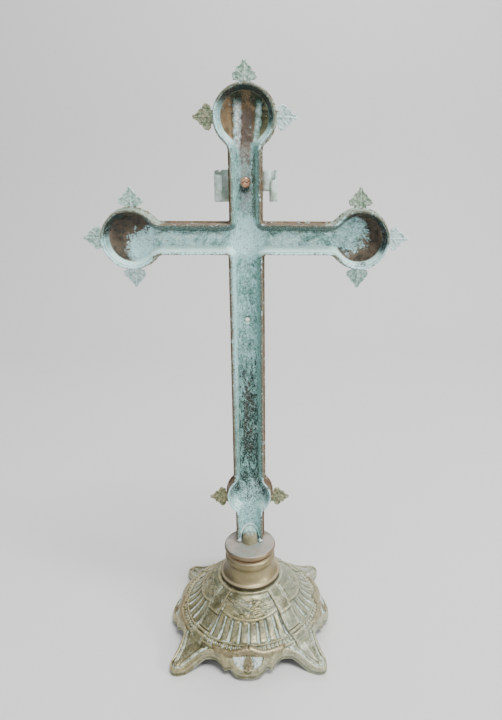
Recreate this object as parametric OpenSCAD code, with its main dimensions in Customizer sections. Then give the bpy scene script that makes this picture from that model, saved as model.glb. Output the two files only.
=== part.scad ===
// Hollow-backed brass altar cross on a four-footed cast base.
// The cross stands on two turned collars, and one long rod with a nut under
// the base draws the whole stack together. The display face looks to -Y and
// the open back of the casting looks to +Y. The origin is the centre of the
// base on the surface that the feet rest on. All sizes are in millimetres.

/* [Cross casting] */
// Height of the whole object, from the surface to the tip of the top leaf
total_h = 520; // [480:1:600]
// Height of the centre line of the horizontal arms
arm_z = 384; // [340:1:400]
// Distance from the upright to the centre of each side medallion
arm_x = 94.5; // [80:0.5:110]
// Radius of the back rim of the three large medallions
lobe_r = 23.8; // [20:0.1:25]
// Radius of the back rim of the small medallion near the foot
low_r = 20.5; // [18:0.1:22]
// Height of the centre of the small medallion
low_z = 143; // [135:1:160]
// Half width of the upright below the arms, at its back rim
shaft_w = 13.4; // [12:0.1:15]
// Half width of the arms and of the upright above them, at the back rim
arm_w = 12.2; // [11:0.1:13]
// Half width of the short stem between the small medallion and the collar
stem_w = 12.0; // [11:0.1:13]
// Distance from the front plane of the casting to its back rim
cast_d = 14.5; // [12:0.5:18]
// Wall thickness at the back rim
rim_t = 1.4; // [1:0.1:2.5]
// How far each inner wall leans in between the rim and the floor
draft_w = 4.4; // [3:0.1:6]
// Thickness of the floor and of the front flange
floor_t = 2.6; // [2:0.1:4]
// How far the front flange stands out past the walls
flange_w = 1.9; // [1:0.1:3]

/* [Leaf points] */
// Length of a leaf point past the back rim of its medallion
leaf_len = 18; // [14:0.5:22]
// Width of a leaf point across its side lobes
leaf_w = 18; // [14:0.5:22]
// Thickness of a leaf point
leaf_t = 2.4; // [2:0.1:4]
// How far the small medallion's leaf points sit below its centre
low_leaf_drop = 7; // [0:0.5:10]

/* [Scroll plate] */
// Width of the scroll plate over its rolled ends
scroll_w = 51; // [40:1:60]
// Height of the scroll plate
scroll_h = 25.5; // [20:0.5:34]
// Height of the middle of the scroll plate
scroll_z = 426; // [418:0.5:436]
// Thickness of the scroll plate
scroll_t = 1.8; // [1:0.1:3]
// Height of the rivet that holds the scroll plate
rivet_z = 429; // [422:1:440]
// Radius of the rivet's back head
rivet_r = 4.3; // [3:0.1:6]
// Radius of the rivet's shank
shank_r = 2.4; // [1.5:0.1:3]

/* [Figure screw hole] */
// Height of the small hole through the floor of the upright
hole_z = 313.5; // [300:0.5:330]
// Radius of the small hole
hole_r = 2.0; // [1:0.1:3]
// Radius of the shallow recess around the hole
recess_r = 3.6; // [2.5:0.1:5]

/* [Collars] */
// Radius of the upper collar
collar_r = 24.8; // [22:0.1:28]
// Radius of the foot of the bell-shaped neck
bell_r = 28.9; // [28:0.1:30.5]
// Height of the top of the upper collar
collar_top = 92.3; // [88:0.1:96]
// Height of the joint between the neck and the upper collar
collar_seat = 84.5; // [82:0.1:86]
// Height of the seat of the neck on the base
neck_seat = 58; // [56:0.1:60]

/* [Tie rod] */
// Radius of the tie rod
rod_r = 5; // [4:0.1:6]
// Width of the nut across its flats
nut_af = 16; // [14:0.5:20]
// Thickness of the nut
nut_t = 8; // [5:0.5:10]
// Radius of the washer
washer_r = 13; // [10:0.5:16]
// Thickness of the washer
washer_t = 2; // [1:0.5:4]

/* [Base] */
// Radius of the round rim of the base between its feet
rim_r = 71.5; // [68:0.5:76]
// Radius to the outer edge of the four small front, back and side lobes
lobe_out = 79; // [76:0.5:84]
// Half width of each small lobe
lobe_half = 12; // [10:0.5:14]
// Radius to the tips of the four feet
foot_out = 99.5; // [96:0.5:104]
// Half width of each foot at its toe
foot_half = 8.5; // [7:0.5:11]
// Half width of each foot where it leaves the skirt
root_half = 15; // [12:0.5:17]
// Thickness of the base casting's wall
base_t = 3.2; // [2.5:0.1:5]
// Number of flutes in each quarter of the dome
flutes = 7; // [5:1:9]

/* [Hidden] */
$fn = 96;
eps = 0.01;
back_y = 1;
front_y = back_y - cast_d;
floor_y = front_y + floor_t;
panel_t = 1.5;
face_y = front_y - panel_t;
top_z = total_h - lobe_r - leaf_len;
boss_r = 8.3;
boss_h = 7;
rod_top = collar_top + 12.5;
base_plate = 4;
washer_z = neck_seat - base_plate - washer_t;
nut_z = washer_z - nut_t;
rod_low = nut_z - 5;
dome_top_r = 32;
skirt_r = 79;

// ---- cross casting ---------------------------------------------------------

// A straight bar of trapezoid section along Z, half width a at y0 and b at y1.
module bar_z(a, b, y0, y1, z0, z1) {
    translate([0, 0, z0])
        linear_extrude(z1 - z0)
            polygon([[-a, y0], [a, y0], [b, y1], [-b, y1]]);
}

// The same bar lying along X, centred on the arm height.
module bar_x(a, b, y0, y1, x1) {
    translate([0, 0, arm_z])
        rotate([0, 90, 0])
            bar_z(a, b, y0, y1, -x1, x1);
}

// A round boss along Y at [x, z], radius a at y0 and b at y1.
module disc_y(x, z, a, b, y0, y1) {
    translate([x, y0, z])
        rotate([-90, 0, 0])
            cylinder(h = y1 - y0, r1 = a, r2 = b);
}

// The whole outline of the cross at one depth band: g widens every half
// width at y0, and h widens it at y1.
module cross_form(g, h, y0, y1, z0) {
    bar_z(stem_w + g, stem_w + h, y0, y1, z0, low_z);
    bar_z(shaft_w + g, shaft_w + h, y0, y1, low_z, arm_z);
    bar_z(arm_w + g, arm_w + h, y0, y1, arm_z, top_z);
    bar_x(arm_w + g, arm_w + h, y0, y1, arm_x);
    disc_y(0, top_z, lobe_r + g, lobe_r + h, y0, y1);
    disc_y(-arm_x, arm_z, lobe_r + g, lobe_r + h, y0, y1);
    disc_y(arm_x, arm_z, lobe_r + g, lobe_r + h, y0, y1);
    disc_y(0, low_z, low_r + g, low_r + h, y0, y1);
}

// Flat outline of one leaf point growing along +Y from the rim at 0.
module leaf_outline() {
    w = leaf_w / 2;
    l = leaf_len;
    polygon([[-w * 0.8, -4], [w * 0.8, -4], [w * 0.62, 1.5],
             [w * 0.7, l * 0.34], [-w * 0.7, l * 0.34], [-w * 0.62, 1.5]]);
    for (s = [-1, 1])
        translate([s * w * 0.54, l * 0.34])
            circle(r = w * 0.46);
    translate([0, l * 0.46])
        circle(r = w * 0.56);
    polygon([[-w * 0.52, l * 0.5], [w * 0.52, l * 0.5],
             [w * 0.42, l * 0.68], [w * 0.26, l * 0.84], [0, l],
             [-w * 0.26, l * 0.84], [-w * 0.42, l * 0.68]]);
}

// One leaf point at the rim of a medallion, turned a degrees from upright.
module leaf(x, z, r, a) {
    translate([x, front_y + leaf_t, z])
        rotate([90, 0, 0])
            linear_extrude(leaf_t)
                rotate(-a)
                    translate([0, r])
                        leaf_outline();
}

module all_leaves() {
    for (a = [-90, 0, 90])
        leaf(0, top_z, lobe_r, a);
    for (a = [0, 90, 180]) {
        leaf(arm_x, arm_z, lobe_r, a);
        leaf(-arm_x, arm_z, lobe_r, -a);
    }
    for (a = [-90, 90])
        leaf(0, low_z - low_leaf_drop, low_r, a);
}

// The inner void: drafted walls down to the floor, open at the back.
module cross_void() {
    difference() {
        cross_form(-rim_t - draft_w, -rim_t, floor_y, back_y + eps,
                   collar_top - 1);
        // two low ribs carry on the walls of the upright across the top
        // medallion
        for (s = [-1, 1])
            translate([s * (arm_w - rim_t - 1.4) - 1, floor_y - 1,
                       top_z - lobe_r + 1])
                cube([2, 5, 2 * lobe_r - 8]);
    }
}

// Arched socket for the tie rod in the foot of the upright. It grows out of
// the floor and is rounded at the back.
module foot_boss() {
    translate([0, 0, collar_top])
        cylinder(r = boss_r, h = boss_h);
    translate([0, 0, collar_top + boss_h])
        sphere(r = boss_r);
    translate([-boss_r, floor_y - 1, collar_top])
        cube([2 * boss_r, 1 - floor_y, boss_h]);
    translate([0, floor_y - 1, collar_top + boss_h])
        rotate([-90, 0, 0])
            cylinder(r = boss_r, h = 1 - floor_y);
}

module cross_casting() {
    color("DarkSeaGreen")
    difference() {
        union() {
            difference() {
                union() {
                    cross_form(0.8, 0, front_y, back_y, collar_top);
                    cross_form(flange_w, flange_w, front_y,
                               front_y + floor_t, collar_top);
                    cross_form(-4.2, -3.4, face_y, front_y + eps,
                               collar_top);
                    all_leaves();
                }
                cross_void();
            }
            intersection() {
                foot_boss();
                translate([-20, floor_y - 1, collar_top])
                    cube([40, 40, 40]);
            }
        }
        translate([0, 0, collar_top - 1])
            cylinder(r = rod_r, h = rod_top - collar_top + 1);
        translate([-rod_r - 0.4, 1.5, collar_top - 1])
            cube([2 * rod_r + 0.8, 20, rod_top - collar_top + 1]);
        translate([0, face_y - 1, rivet_z])
            rotate([-90, 0, 0])
                cylinder(r = shank_r, h = cast_d);
        translate([0, face_y - 1, hole_z])
            rotate([-90, 0, 0])
                cylinder(r = hole_r, h = cast_d);
        translate([0, floor_y - 1, hole_z])
            rotate([-90, 0, 0])
                cylinder(r = recess_r, h = 4);
    }
}

// ---- scroll plate and its rivet --------------------------------------------

// Blank scroll plate: one end rolled to the back, the other folded in a step.
module titulus_scroll() {
    roll_r = 3.8;
    half = scroll_w / 2;
    y1 = face_y;
    y0 = y1 - scroll_t;
    color("MediumAquamarine")
    difference() {
        union() {
            translate([-half + 5, y0, scroll_z - scroll_h / 2])
                cube([scroll_w - 5 - roll_r, scroll_t, scroll_h]);
            // rolled end
            translate([half - roll_r, y0 + roll_r,
                       scroll_z - scroll_h / 2 + roll_r])
                cylinder(r = roll_r, h = scroll_h - 4 - roll_r);
            translate([half - roll_r, y0 + roll_r,
                       scroll_z - scroll_h / 2 + roll_r])
                sphere(r = roll_r);
            translate([half - 2.2, y0, scroll_z - scroll_h / 2 + 11])
                cube([2.2, scroll_t, scroll_h - 11]);
            // folded end
            translate([-half, y0, scroll_z - scroll_h / 2])
                cube([8, scroll_t, scroll_h]);
            translate([-half, y0 + scroll_t - eps,
                       scroll_z - scroll_h / 2])
                cube([5.5, 2.4, scroll_h]);
            translate([-half + 5, y0 + scroll_t - eps,
                       scroll_z + scroll_h / 2 - 17])
                cube([6.4, 1.6, 17]);
        }
        translate([0, y0 - 1, rivet_z])
            rotate([-90, 0, 0])
                cylinder(r = shank_r, h = scroll_t + 2);
        // the lower corner beside the fold is cut away
        translate([-half + 5.5, y0 - 1, scroll_z - scroll_h / 2 - 1])
            cube([6, scroll_t + 2, 9.5]);
    }
}

// Rivet with a low domed head in front and a long hammered end behind.
module titulus_rivet() {
    front = face_y - scroll_t;
    color("Peru")
    rotate([-90, 0, 0])
    translate([0, -rivet_z, 0])
    rotate_extrude()
        polygon([[0, front - 1.6], [2, front - 1.5], [3.4, front - 0.9],
                 [4, front], [shank_r, front], [shank_r, floor_y],
                 [rivet_r - 0.4, floor_y], [rivet_r, floor_y + 0.6],
                 [rivet_r, floor_y + 3.6], [rivet_r - 0.6, floor_y + 4.4],
                 [2.4, floor_y + 4.8], [0, floor_y + 5]]);
}

// ---- turned collars --------------------------------------------------------

module collar_ring() {
    s = collar_seat;
    t = collar_top;
    r = collar_r;
    color("DarkKhaki")
    rotate_extrude()
        polygon([[rod_r + 0.4, s], [r - 3, s], [r - 3.3, s + 0.9],
                 [r - 3, s + 1.9], [r - 1.6, s + 2.5], [r - 0.5, s + 3.3],
                 [r, s + 4.4], [r, t - 2], [r - 0.5, t - 0.9],
                 [r - 1.6, t - 0.2], [r - 2.8, t], [rod_r + 0.4, t]]);
}

// Radius of the neck's concave sweep at a share u of its height.
function sweep_r(u) = bell_r - (bell_r - 22.4) * sin(90 * pow(u, 0.62));

module neck_bell() {
    z0 = neck_seat;
    edge_h = 3.4;
    sweep_h = 13;
    z1 = z0 + edge_h + sweep_h;
    color("DarkKhaki")
    rotate_extrude()
        polygon(concat(
            [[rod_r + 0.4, z0], [bell_r - 0.5, z0], [bell_r, z0 + 0.5]],
            [for (i = [0:12]) [sweep_r(i / 12), z0 + edge_h + sweep_h * i / 12]],
            [[22.9, z1 + 0.4], [23.8, z1 + 1.6], [24.2, z1 + 3.4],
             [24.1, z1 + 5.4], [23.5, z1 + 7.4], [22.8, z1 + 8.4],
             [22.2, z1 + 8.7],
             [22.2, collar_seat], [rod_r + 0.4, collar_seat]]));
}

// ---- base ------------------------------------------------------------------

// Outer profile of the dome from the seat of the neck to the rim.
function dome() = [
    [dome_top_r - 0.8, neck_seat], [dome_top_r, neck_seat - 0.8],
    [dome_top_r + 0.6, neck_seat - 2], [38, 51.6], [42, 46.8], [45.5, 42.8],
    [48.5, 39.8], [49.5, 38.2], [52.5, 34.2], [56, 30.4], [60, 27.2],
    [63.5, 25.6], [64.3, 25.8], [65.6, 25.6], [68.4, 23.6], [69.4, 22.4],
    [rim_r, 20.6], [rim_r + 0.4, 18], [rim_r + 0.4, 12]];

// Inner profile of the hollow underside.
function dome_in() = [
    [rim_r - base_t, 12], [rim_r - base_t, 17.6], [66, 20.2], [59, 23.4],
    [53, 28], [47, 34.8], [42, 41], [36.6, 47.2],
    [31, neck_seat - base_plate], [0, neck_seat - base_plate]];

function rev(v) = [for (i = [len(v) - 1:-1:0]) v[i]];

module dome_shell() {
    rotate_extrude()
        polygon(concat([[0, neck_seat]], dome(), dome_in()));
}

// Plan of the drooping skirt: small lobes joined to the roots of the feet
// by hollow curves.
module skirt_plan() {
    difference() {
        circle(r = lobe_out);
        for (q = [0:90:270])
            for (s = [-1, 1]) {
                // round arches between the lobes and the feet
                rotate(q + s * 24.5)
                    translate([skirt_r + 7.5, 0])
                        circle(r = 15);
                // small notches that leave a cusp on each side of a lobe
                rotate(q + s * atan((lobe_half + 5.2) / 74))
                    translate([77.7, 0])
                        circle(r = 4);
            }
    }
}

// Thick-edged skirt that hangs below the rim between the feet.
module skirt() {
    intersection() {
        linear_extrude(40)
            skirt_plan();
        rotate_extrude()
            polygon([[60, 22], [rim_r, 19.4], [74, 15.5], [76.6, 12],
                     [80, 9], [80, 3], [76.5, 4], [73, 8],
                     [rim_r - 1, 12], [60, 18]]);
    }
}

// Plan of one foot: it narrows from a broad root to a round toe, with
// straight sides that run tangent into the toe.
module foot_plan(inset = 0) {
    c = foot_out - foot_half;
    r = foot_half - inset;
    h = root_half - inset;
    t = atan2(h, 72 - c) - acos(r / norm([72 - c, h]));
    translate([c, 0])
        circle(r = r);
    polygon([[50, -h], [72, -h], [c + r * cos(t), -r * sin(t)],
             [c + r * cos(t), r * sin(t)], [72, h], [50, h]]);
}

// One foot: a broad tongue that drops from the dome to the surface.
module foot() {
    intersection() {
        linear_extrude(60)
            foot_plan();
        rotate_extrude()
            polygon([[48, 38], [56, 31], [64, 27.2], [69, 24.5],
                     [74, 19.5], [80, 14], [88, 9.6], [94, 7.4],
                     [101, 6.4], [101, 0], [90, 0], [85, 3.4],
                     [76, 9.5], [68, 15], [62, 20], [48, 32]]);
    }
    // raised border round the foot's panel
    intersection() {
        linear_extrude(60)
            difference() {
                foot_plan();
                foot_plan(2.6);
                translate([40, -30])
                    square([33, 60]);
            }
        rotate_extrude()
            polygon([[70, 24.8], [74, 20.5], [80, 15], [88, 10.6],
                     [94, 8.4], [101, 7.4], [101, 2], [70, 18]]);
    }
}

// A low strap that runs from the seat of the neck down to a foot.
module strap() {
    intersection() {
        linear_extrude(80)
            translate([31, -8])
                square([42, 16]);
        rotate_extrude()
            polygon([[30, neck_seat - 3.6], [dome_top_r + 1.2, neck_seat - 1.5],
                     [39.2, 52.4], [46.6, 43.6], [50.6, 39],
                     [56.8, 32], [63, 28], [69.6, 25], [72, 21.5],
                     [70, 19], [50, 32], [34, 50]]);
    }
}

// A flute: a shallow groove that runs down one quarter of the dome.
module flute(a) {
    rotate(a)
        translate([55.4, 0, 33.6])
            rotate([0, 44, 0])
                translate([0, 0, 0])
                    rotate([0, 90, 0])
                        cylinder(h = 14, r = 2.2, center = true, $fn = 20);
}

// Moulded bracket over each small lobe: two sagging arms that meet in a
// knuckle, and a drop below them.
module bracket() {
    for (s = [0, 1])
        mirror([0, s, 0]) {
            rotate([0, 0, 9])
                rotate_extrude(angle = 11)
                    translate([rim_r - 0.8, 18.4])
                        circle(r = 2.4, $fn = 24);
            translate([(rim_r - 0.8) * cos(9), (rim_r - 0.8) * sin(9), 18.4])
                rotate([-18, 0, 90])
                    rotate([0, -72, 0])
                        cylinder(r = 2.4, h = 11.4, $fn = 24);
        }
    translate([rim_r - 1, 0, 21.6])
        sphere(r = 3.2, $fn = 24);
    translate([75.2, 0, 13.4])
        rotate([0, 50, 0])
            translate([0, 0, -5])
                rotate_extrude($fn = 24)
                    polygon([[0, 0], [1.2, 1], [2.4, 4], [2.8, 6.4],
                             [2.2, 8.4], [0, 9.6]]);
}

module base_casting() {
    color("DarkKhaki")
    difference() {
        union() {
            difference() {
                dome_shell();
                for (q = [0:90:270])
                    for (i = [0:flutes - 1])
                        flute(q + (i - (flutes - 1) / 2) * 9);
            }
            skirt();
            for (q = [0:90:270]) {
                rotate(q)
                    bracket();
                rotate(q + 45)
                    foot();
                rotate(q + 45)
                    strap();
            }
        }
        translate([0, 0, neck_seat - 20])
            cylinder(r = rod_r + 0.4, h = 40);
    }
}

// ---- tie rod, washer and nut -----------------------------------------------

module tie_rod() {
    color("Goldenrod")
    rotate_extrude()
        polygon([[0, rod_low], [rod_r - 0.8, rod_low], [rod_r, rod_low + 0.8],
                 [rod_r, rod_top - 2], [rod_r - 0.6, rod_top - 0.8],
                 [rod_r - 2, rod_top - 0.2], [0, rod_top]]);
}

module base_washer() {
    color("DimGray")
    translate([0, 0, washer_z])
        difference() {
            cylinder(r = washer_r, h = washer_t);
            translate([0, 0, -1])
                cylinder(r = rod_r + 0.4, h = washer_t + 2);
        }
}

module base_nut() {
    color("DimGray")
    translate([0, 0, nut_z])
        difference() {
            cylinder(r = nut_af / sqrt(3), h = nut_t, $fn = 6);
            translate([0, 0, -1])
                cylinder(r = rod_r, h = nut_t + 2);
        }
}

cross_casting();
titulus_scroll();
titulus_rivet();
collar_ring();
neck_bell();
base_casting();
tie_rod();
base_washer();
base_nut();
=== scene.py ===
"""Looks of the altar cross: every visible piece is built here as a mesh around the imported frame."""
import math

import bmesh
import bpy
import numpy as np
from mathutils import Matrix, Vector
from mathutils.geometry import tessellate_polygon


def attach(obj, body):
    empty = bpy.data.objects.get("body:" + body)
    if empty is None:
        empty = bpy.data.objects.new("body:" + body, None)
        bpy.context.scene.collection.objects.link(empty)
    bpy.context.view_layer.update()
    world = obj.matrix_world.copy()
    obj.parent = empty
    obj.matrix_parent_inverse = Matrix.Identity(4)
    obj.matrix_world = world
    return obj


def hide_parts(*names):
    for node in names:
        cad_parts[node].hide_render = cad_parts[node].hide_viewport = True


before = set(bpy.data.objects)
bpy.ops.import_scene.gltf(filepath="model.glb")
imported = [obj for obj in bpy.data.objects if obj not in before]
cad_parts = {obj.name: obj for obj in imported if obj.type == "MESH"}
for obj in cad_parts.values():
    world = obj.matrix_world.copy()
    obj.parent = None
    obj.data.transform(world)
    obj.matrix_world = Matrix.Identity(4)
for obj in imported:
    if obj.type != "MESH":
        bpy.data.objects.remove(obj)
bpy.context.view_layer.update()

# ---- sizes in millimetres, as in the part --------------------------------------------------
ARM_Z, ARM_X = 384.0, 94.5
LOBE_R, LOW_R, LOW_Z = 23.8, 20.5, 143.0
TOP_Z = 520.0 - LOBE_R - 18.0
LEAF_DROP = 7.0
SHAFT_W, ARM_W, STEM_W = 13.4, 12.2, 12.0
COLLAR_TOP, COLLAR_SEAT, NECK_SEAT = 92.3, 84.5, 58.0
FRONT_Y, FLOOR_Y, BACK_Y, FACE_Y = -13.5, -10.9, 1.0, -15.0
RIVET_Z, SCROLL_Z, HOLE_Z = 429.0, 426.0, 313.5
ROD_R = 5.0
MM = 0.001


# ---- small numeric helpers -----------------------------------------------------------------
def smooth(x, a, b):
    t = np.clip((x - a) / (b - a), 0, 1)
    return t * t * (3 - 2 * t)


def bump(x, w):
    """A round bump of half width w at 0."""
    return np.sqrt(np.clip(1 - (x / w) ** 2, 0, 1))


def gauss(x, w):
    return np.exp(-((x / w) ** 2))


def hash3(i, j, k, seed):
    n = (i * 73856093) ^ (j * 19349663) ^ (k * 83492791) ^ (seed * 2654435761)
    n = (n ^ (n >> 13)) & 0x7FFFFFFF
    n = (n * (n * n * 15731 + 789221) + 1376312589) & 0x7FFFFFFF
    return n / 0x7FFFFFFF * 2 - 1


def vnoise(p, size, seed=1):
    """Smooth value noise in -1..1 at points p (N, 3), cell size in the points' unit."""
    q = np.asarray(p, float) / size + 1000.0
    b = np.floor(q).astype(np.int64)
    f = q - b
    f = f * f * (3 - 2 * f)
    out = 0
    for dx in (0, 1):
        for dy in (0, 1):
            for dz in (0, 1):
                w = ((f[..., 0] if dx else 1 - f[..., 0]) * (f[..., 1] if dy else 1 - f[..., 1])
                     * (f[..., 2] if dz else 1 - f[..., 2]))
                out = out + w * hash3(b[..., 0] + dx, b[..., 1] + dy, b[..., 2] + dz, seed)
    return out


def catmull(points, per):
    """A smooth curve through points, per samples a span."""
    p = np.array(points, float)
    p = np.vstack([2 * p[0] - p[1], p, 2 * p[-1] - p[-2]])
    out = []
    for i in range(1, len(p) - 2):
        t = np.linspace(0, 1, per, endpoint=False)[:, None]
        a, b, c, d = p[i - 1], p[i], p[i + 1], p[i + 2]
        out.append(0.5 * (2 * b + (c - a) * t + (2 * a - 5 * b + 4 * c - d) * t * t
                          + (3 * b - a - 3 * c + d) * t ** 3))
    out.append(p[-2:-1])
    return np.vstack(out)


def resample(p, step):
    """The same curve with even steps of about the given length."""
    p = np.asarray(p, float)
    s = np.concatenate([[0], np.cumsum(np.linalg.norm(np.diff(p, axis=0), axis=1))])
    n = max(2, int(round(s[-1] / step)) + 1)
    t = np.linspace(0, s[-1], n)
    return np.stack([np.interp(t, s, p[:, k]) for k in range(p.shape[1])], axis=1)


def tangents(path):
    """Unit vectors along a curve."""
    tan = np.gradient(path, axis=0)
    return tan / np.linalg.norm(tan, axis=1)[:, None]


# ---- mesh builder --------------------------------------------------------------------------
class Shape:
    """Collects vertices in millimetres, faces and point attributes, then makes one object."""

    def __init__(self):
        self.v, self.f, self.a, self.n = [], [], {}, 0

    def add(self, verts, faces, **attrs):
        verts = np.asarray(verts, float).reshape(-1, 3)
        base = self.n
        self.v.append(verts)
        self.f += [tuple(int(i) + base for i in q) for q in faces]
        for key in set(self.a) | set(attrs):
            if key not in self.a:
                self.a[key] = [np.zeros(base)]
            val = attrs.get(key, 0.0)
            self.a[key].append(np.broadcast_to(np.asarray(val, float).reshape(-1), (len(verts),))
                               if np.ndim(val) else np.full(len(verts), float(val)))
        self.n += len(verts)
        return base

    def grid(self, g, wrap=False, flip=False, **attrs):
        """g is rows x cols x 3. wrap joins the last column to the first."""
        r, c = g.shape[:2]
        i = np.arange(r - 1)[:, None] * c
        j = np.arange(c if wrap else c - 1)[None, :]
        k = (j + 1) % c
        q = np.stack([i + j, i + k, i + c + k, i + c + j], axis=-1).reshape(-1, 4)
        if flip:
            q = q[:, ::-1]
        flat = {n: (np.asarray(a).reshape(-1) if np.ndim(a) else a) for n, a in attrs.items()}
        return self.add(g.reshape(-1, 3), q, **flat)

    def caps(self, base, rows, n):
        """Closes the first and last row of a grid of n columns, each with one face."""
        for row in (0, rows - 1):
            ring = [base + row * n + j for j in range(n)]
            self.f.append(tuple(ring if row else ring[::-1]))

    def close_strip(self, base, rows, n):
        """Joins the two long edges of an open grid of n columns."""
        for k in range(rows - 1):
            a = base + k * n
            self.f.append((a, a + n, a + 2 * n - 1, a + n - 1))

    def fan(self, base, ring, centre, flip=False, **attrs):
        """Closes a ring of vertex numbers onto one centre point."""
        c = self.add([centre], [], **attrs)
        n = len(ring)
        for i in range(n):
            a, b = base + ring[i], base + ring[(i + 1) % n]
            self.f.append((b, a, c) if flip else (a, b, c))

    def lathe(self, profile, cols, axis="z", **attrs):
        """Turns (radius, height) points round the axis. profile may be (rows, cols, 2)."""
        p = np.asarray(profile, float)
        if p.ndim == 2:
            p = np.repeat(p[:, None, :], cols, axis=1)
        t = np.linspace(0, 2 * np.pi, cols, endpoint=False)[None, :]
        x, y, h = p[..., 0] * np.cos(t), p[..., 0] * np.sin(t), p[..., 1]
        g = np.stack([x, y, h] if axis == "z" else [x, h, -y], axis=-1)
        return self.grid(g, wrap=True, **attrs)

    def make(self, name, material, replaces, weld=0.0004):
        me = bpy.data.meshes.new(name)
        me.from_pydata((np.vstack(self.v) * MM).tolist(), [], self.f)
        for key, parts in self.a.items():
            at = me.attributes.new(key, "FLOAT", "POINT")
            at.data.foreach_set("value", np.concatenate(parts).astype(np.float32))
        ob = bpy.data.objects.new(name, me)
        bpy.context.scene.collection.objects.link(ob)
        bm = bmesh.new()
        bm.from_mesh(me)
        bmesh.ops.remove_doubles(bm, verts=bm.verts, dist=weld * MM)
        bmesh.ops.dissolve_degenerate(bm, dist=1e-7, edges=bm.edges)
        bmesh.ops.recalc_face_normals(bm, faces=bm.faces)
        bm.to_mesh(me)
        bm.free()
        me.shade_smooth()
        me.set_sharp_from_angle(angle=math.radians(50))
        me.materials.append(material)
        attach(ob, "root")
        if replaces:
            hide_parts(*replaces)
        return ob


# ---- node materials ------------------------------------------------------------------------
class Val:
    """A shader value that adds, subtracts and multiplies like a number."""

    def __init__(self, mat, socket):
        self.mat, self.socket = mat, socket

    def __add__(self, other):
        return self.mat.math("ADD", self, other)

    def __sub__(self, other):
        return self.mat.math("SUBTRACT", self, other)

    def __rsub__(self, other):
        return self.mat.math("SUBTRACT", other, self)

    def __mul__(self, other):
        return self.mat.math("MULTIPLY", self, other)

    def __abs__(self):
        return self.mat.math("ABSOLUTE", self)

    __radd__, __rmul__ = __add__, __mul__


class Mat:
    """A thin layer over shader nodes, so that a material reads as a short recipe."""

    def __init__(self, name):
        self.material = bpy.data.materials.new(name)
        self.material.use_nodes = True
        self.tree = self.material.node_tree
        self.tree.nodes.clear()
        self.shader = self.node("ShaderNodeBsdfPrincipled")
        self.node("ShaderNodeOutputMaterial", [self.shader.outputs[0]])
        self.co = self.node("ShaderNodeTexCoord").outputs["Object"]
        self.xyz = [Val(self, axis) for axis in self.node("ShaderNodeSeparateXYZ", [self.co]).outputs]

    def plug(self, value, socket):
        """Links a value to a socket, or sets a plain number, vector or colour there."""
        if isinstance(value, Val):
            value = value.socket
        if isinstance(value, bpy.types.NodeSocket):
            self.tree.links.new(value, socket)
        elif value is not None:
            socket.default_value = (*value, 1) if socket.type == "RGBA" else value

    def node(self, kind, ins=(), **props):
        n = self.tree.nodes.new(kind)
        for k, v in props.items():
            setattr(n, k, v)
        for i, v in (ins.items() if isinstance(ins, dict) else enumerate(ins)):
            self.plug(v, n.inputs[i])
        return n

    def noise(self, scale, detail=4.0, rough=0.55, dist=0.0, co=None, seed=0.0):
        v = self.node("ShaderNodeVectorMath", [co or self.co, (seed, seed * 0.7, -seed)])
        n = self.node("ShaderNodeTexNoise", {"Vector": v.outputs[0], "Scale": scale, "Detail": detail,
                                             "Roughness": rough, "Distortion": dist})
        return Val(self, n.outputs[0])

    def attr(self, name):
        return Val(self, self.node("ShaderNodeAttribute", attribute_name=name).outputs["Fac"])

    def math(self, op, a, b=None):
        return Val(self, self.node("ShaderNodeMath", [a, b], operation=op).outputs[0])

    def most(self, first, *others):
        for other in others:
            first = self.math("MAXIMUM", first, other)
        return first

    def ramp(self, x, a, b, lo=0.0, hi=1.0):
        """Runs smoothly from lo where x is a to hi where x is b."""
        n = self.node("ShaderNodeMapRange", [x, a, b, lo, hi], interpolation_type="SMOOTHSTEP")
        return Val(self, n.outputs[0])

    def mix(self, f, a, b):
        """Colour a where f is 0, colour b where f is 1."""
        return self.node("ShaderNodeMix", {0: f, 6: a, 7: b}, data_type="RGBA").outputs[2]

    def vector(self, x, y, z):
        return self.node("ShaderNodeCombineXYZ", [x, y, z]).outputs[0]

    def near(self, x, z, r0, r1, co=None):
        """1 inside r0 metres of (x, z) seen from behind, 0 outside r1."""
        v = co or self.vector(self.xyz[0], 0.0, self.xyz[2])
        d = self.node("ShaderNodeVectorMath", [v, (x, 0, z)], operation="DISTANCE").outputs[1]
        return self.ramp(d, r0, r1, 1.0, 0.0)

    def done(self, colour, metal, rough, heights=(), shine=0.5):
        for name, value in (("Base Color", colour), ("Metallic", metal), ("Roughness", rough),
                            ("Specular IOR Level", shine)):
            self.plug(value, self.shader.inputs[name])
        normal = None
        for height, distance, strength in heights:
            bump_node = self.node("ShaderNodeBump", {"Height": height, "Distance": distance,
                                                     "Strength": strength, "Normal": normal})
            normal = bump_node.outputs[0]
        self.plug(normal, self.shader.inputs["Normal"])
        return self.material


MINT, TEAL, WHITE = (0.27, 0.54, 0.48), (0.085, 0.20, 0.17), (0.55, 0.86, 0.89)
DARK_GREEN = 0.018, 0.040, 0.028


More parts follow.
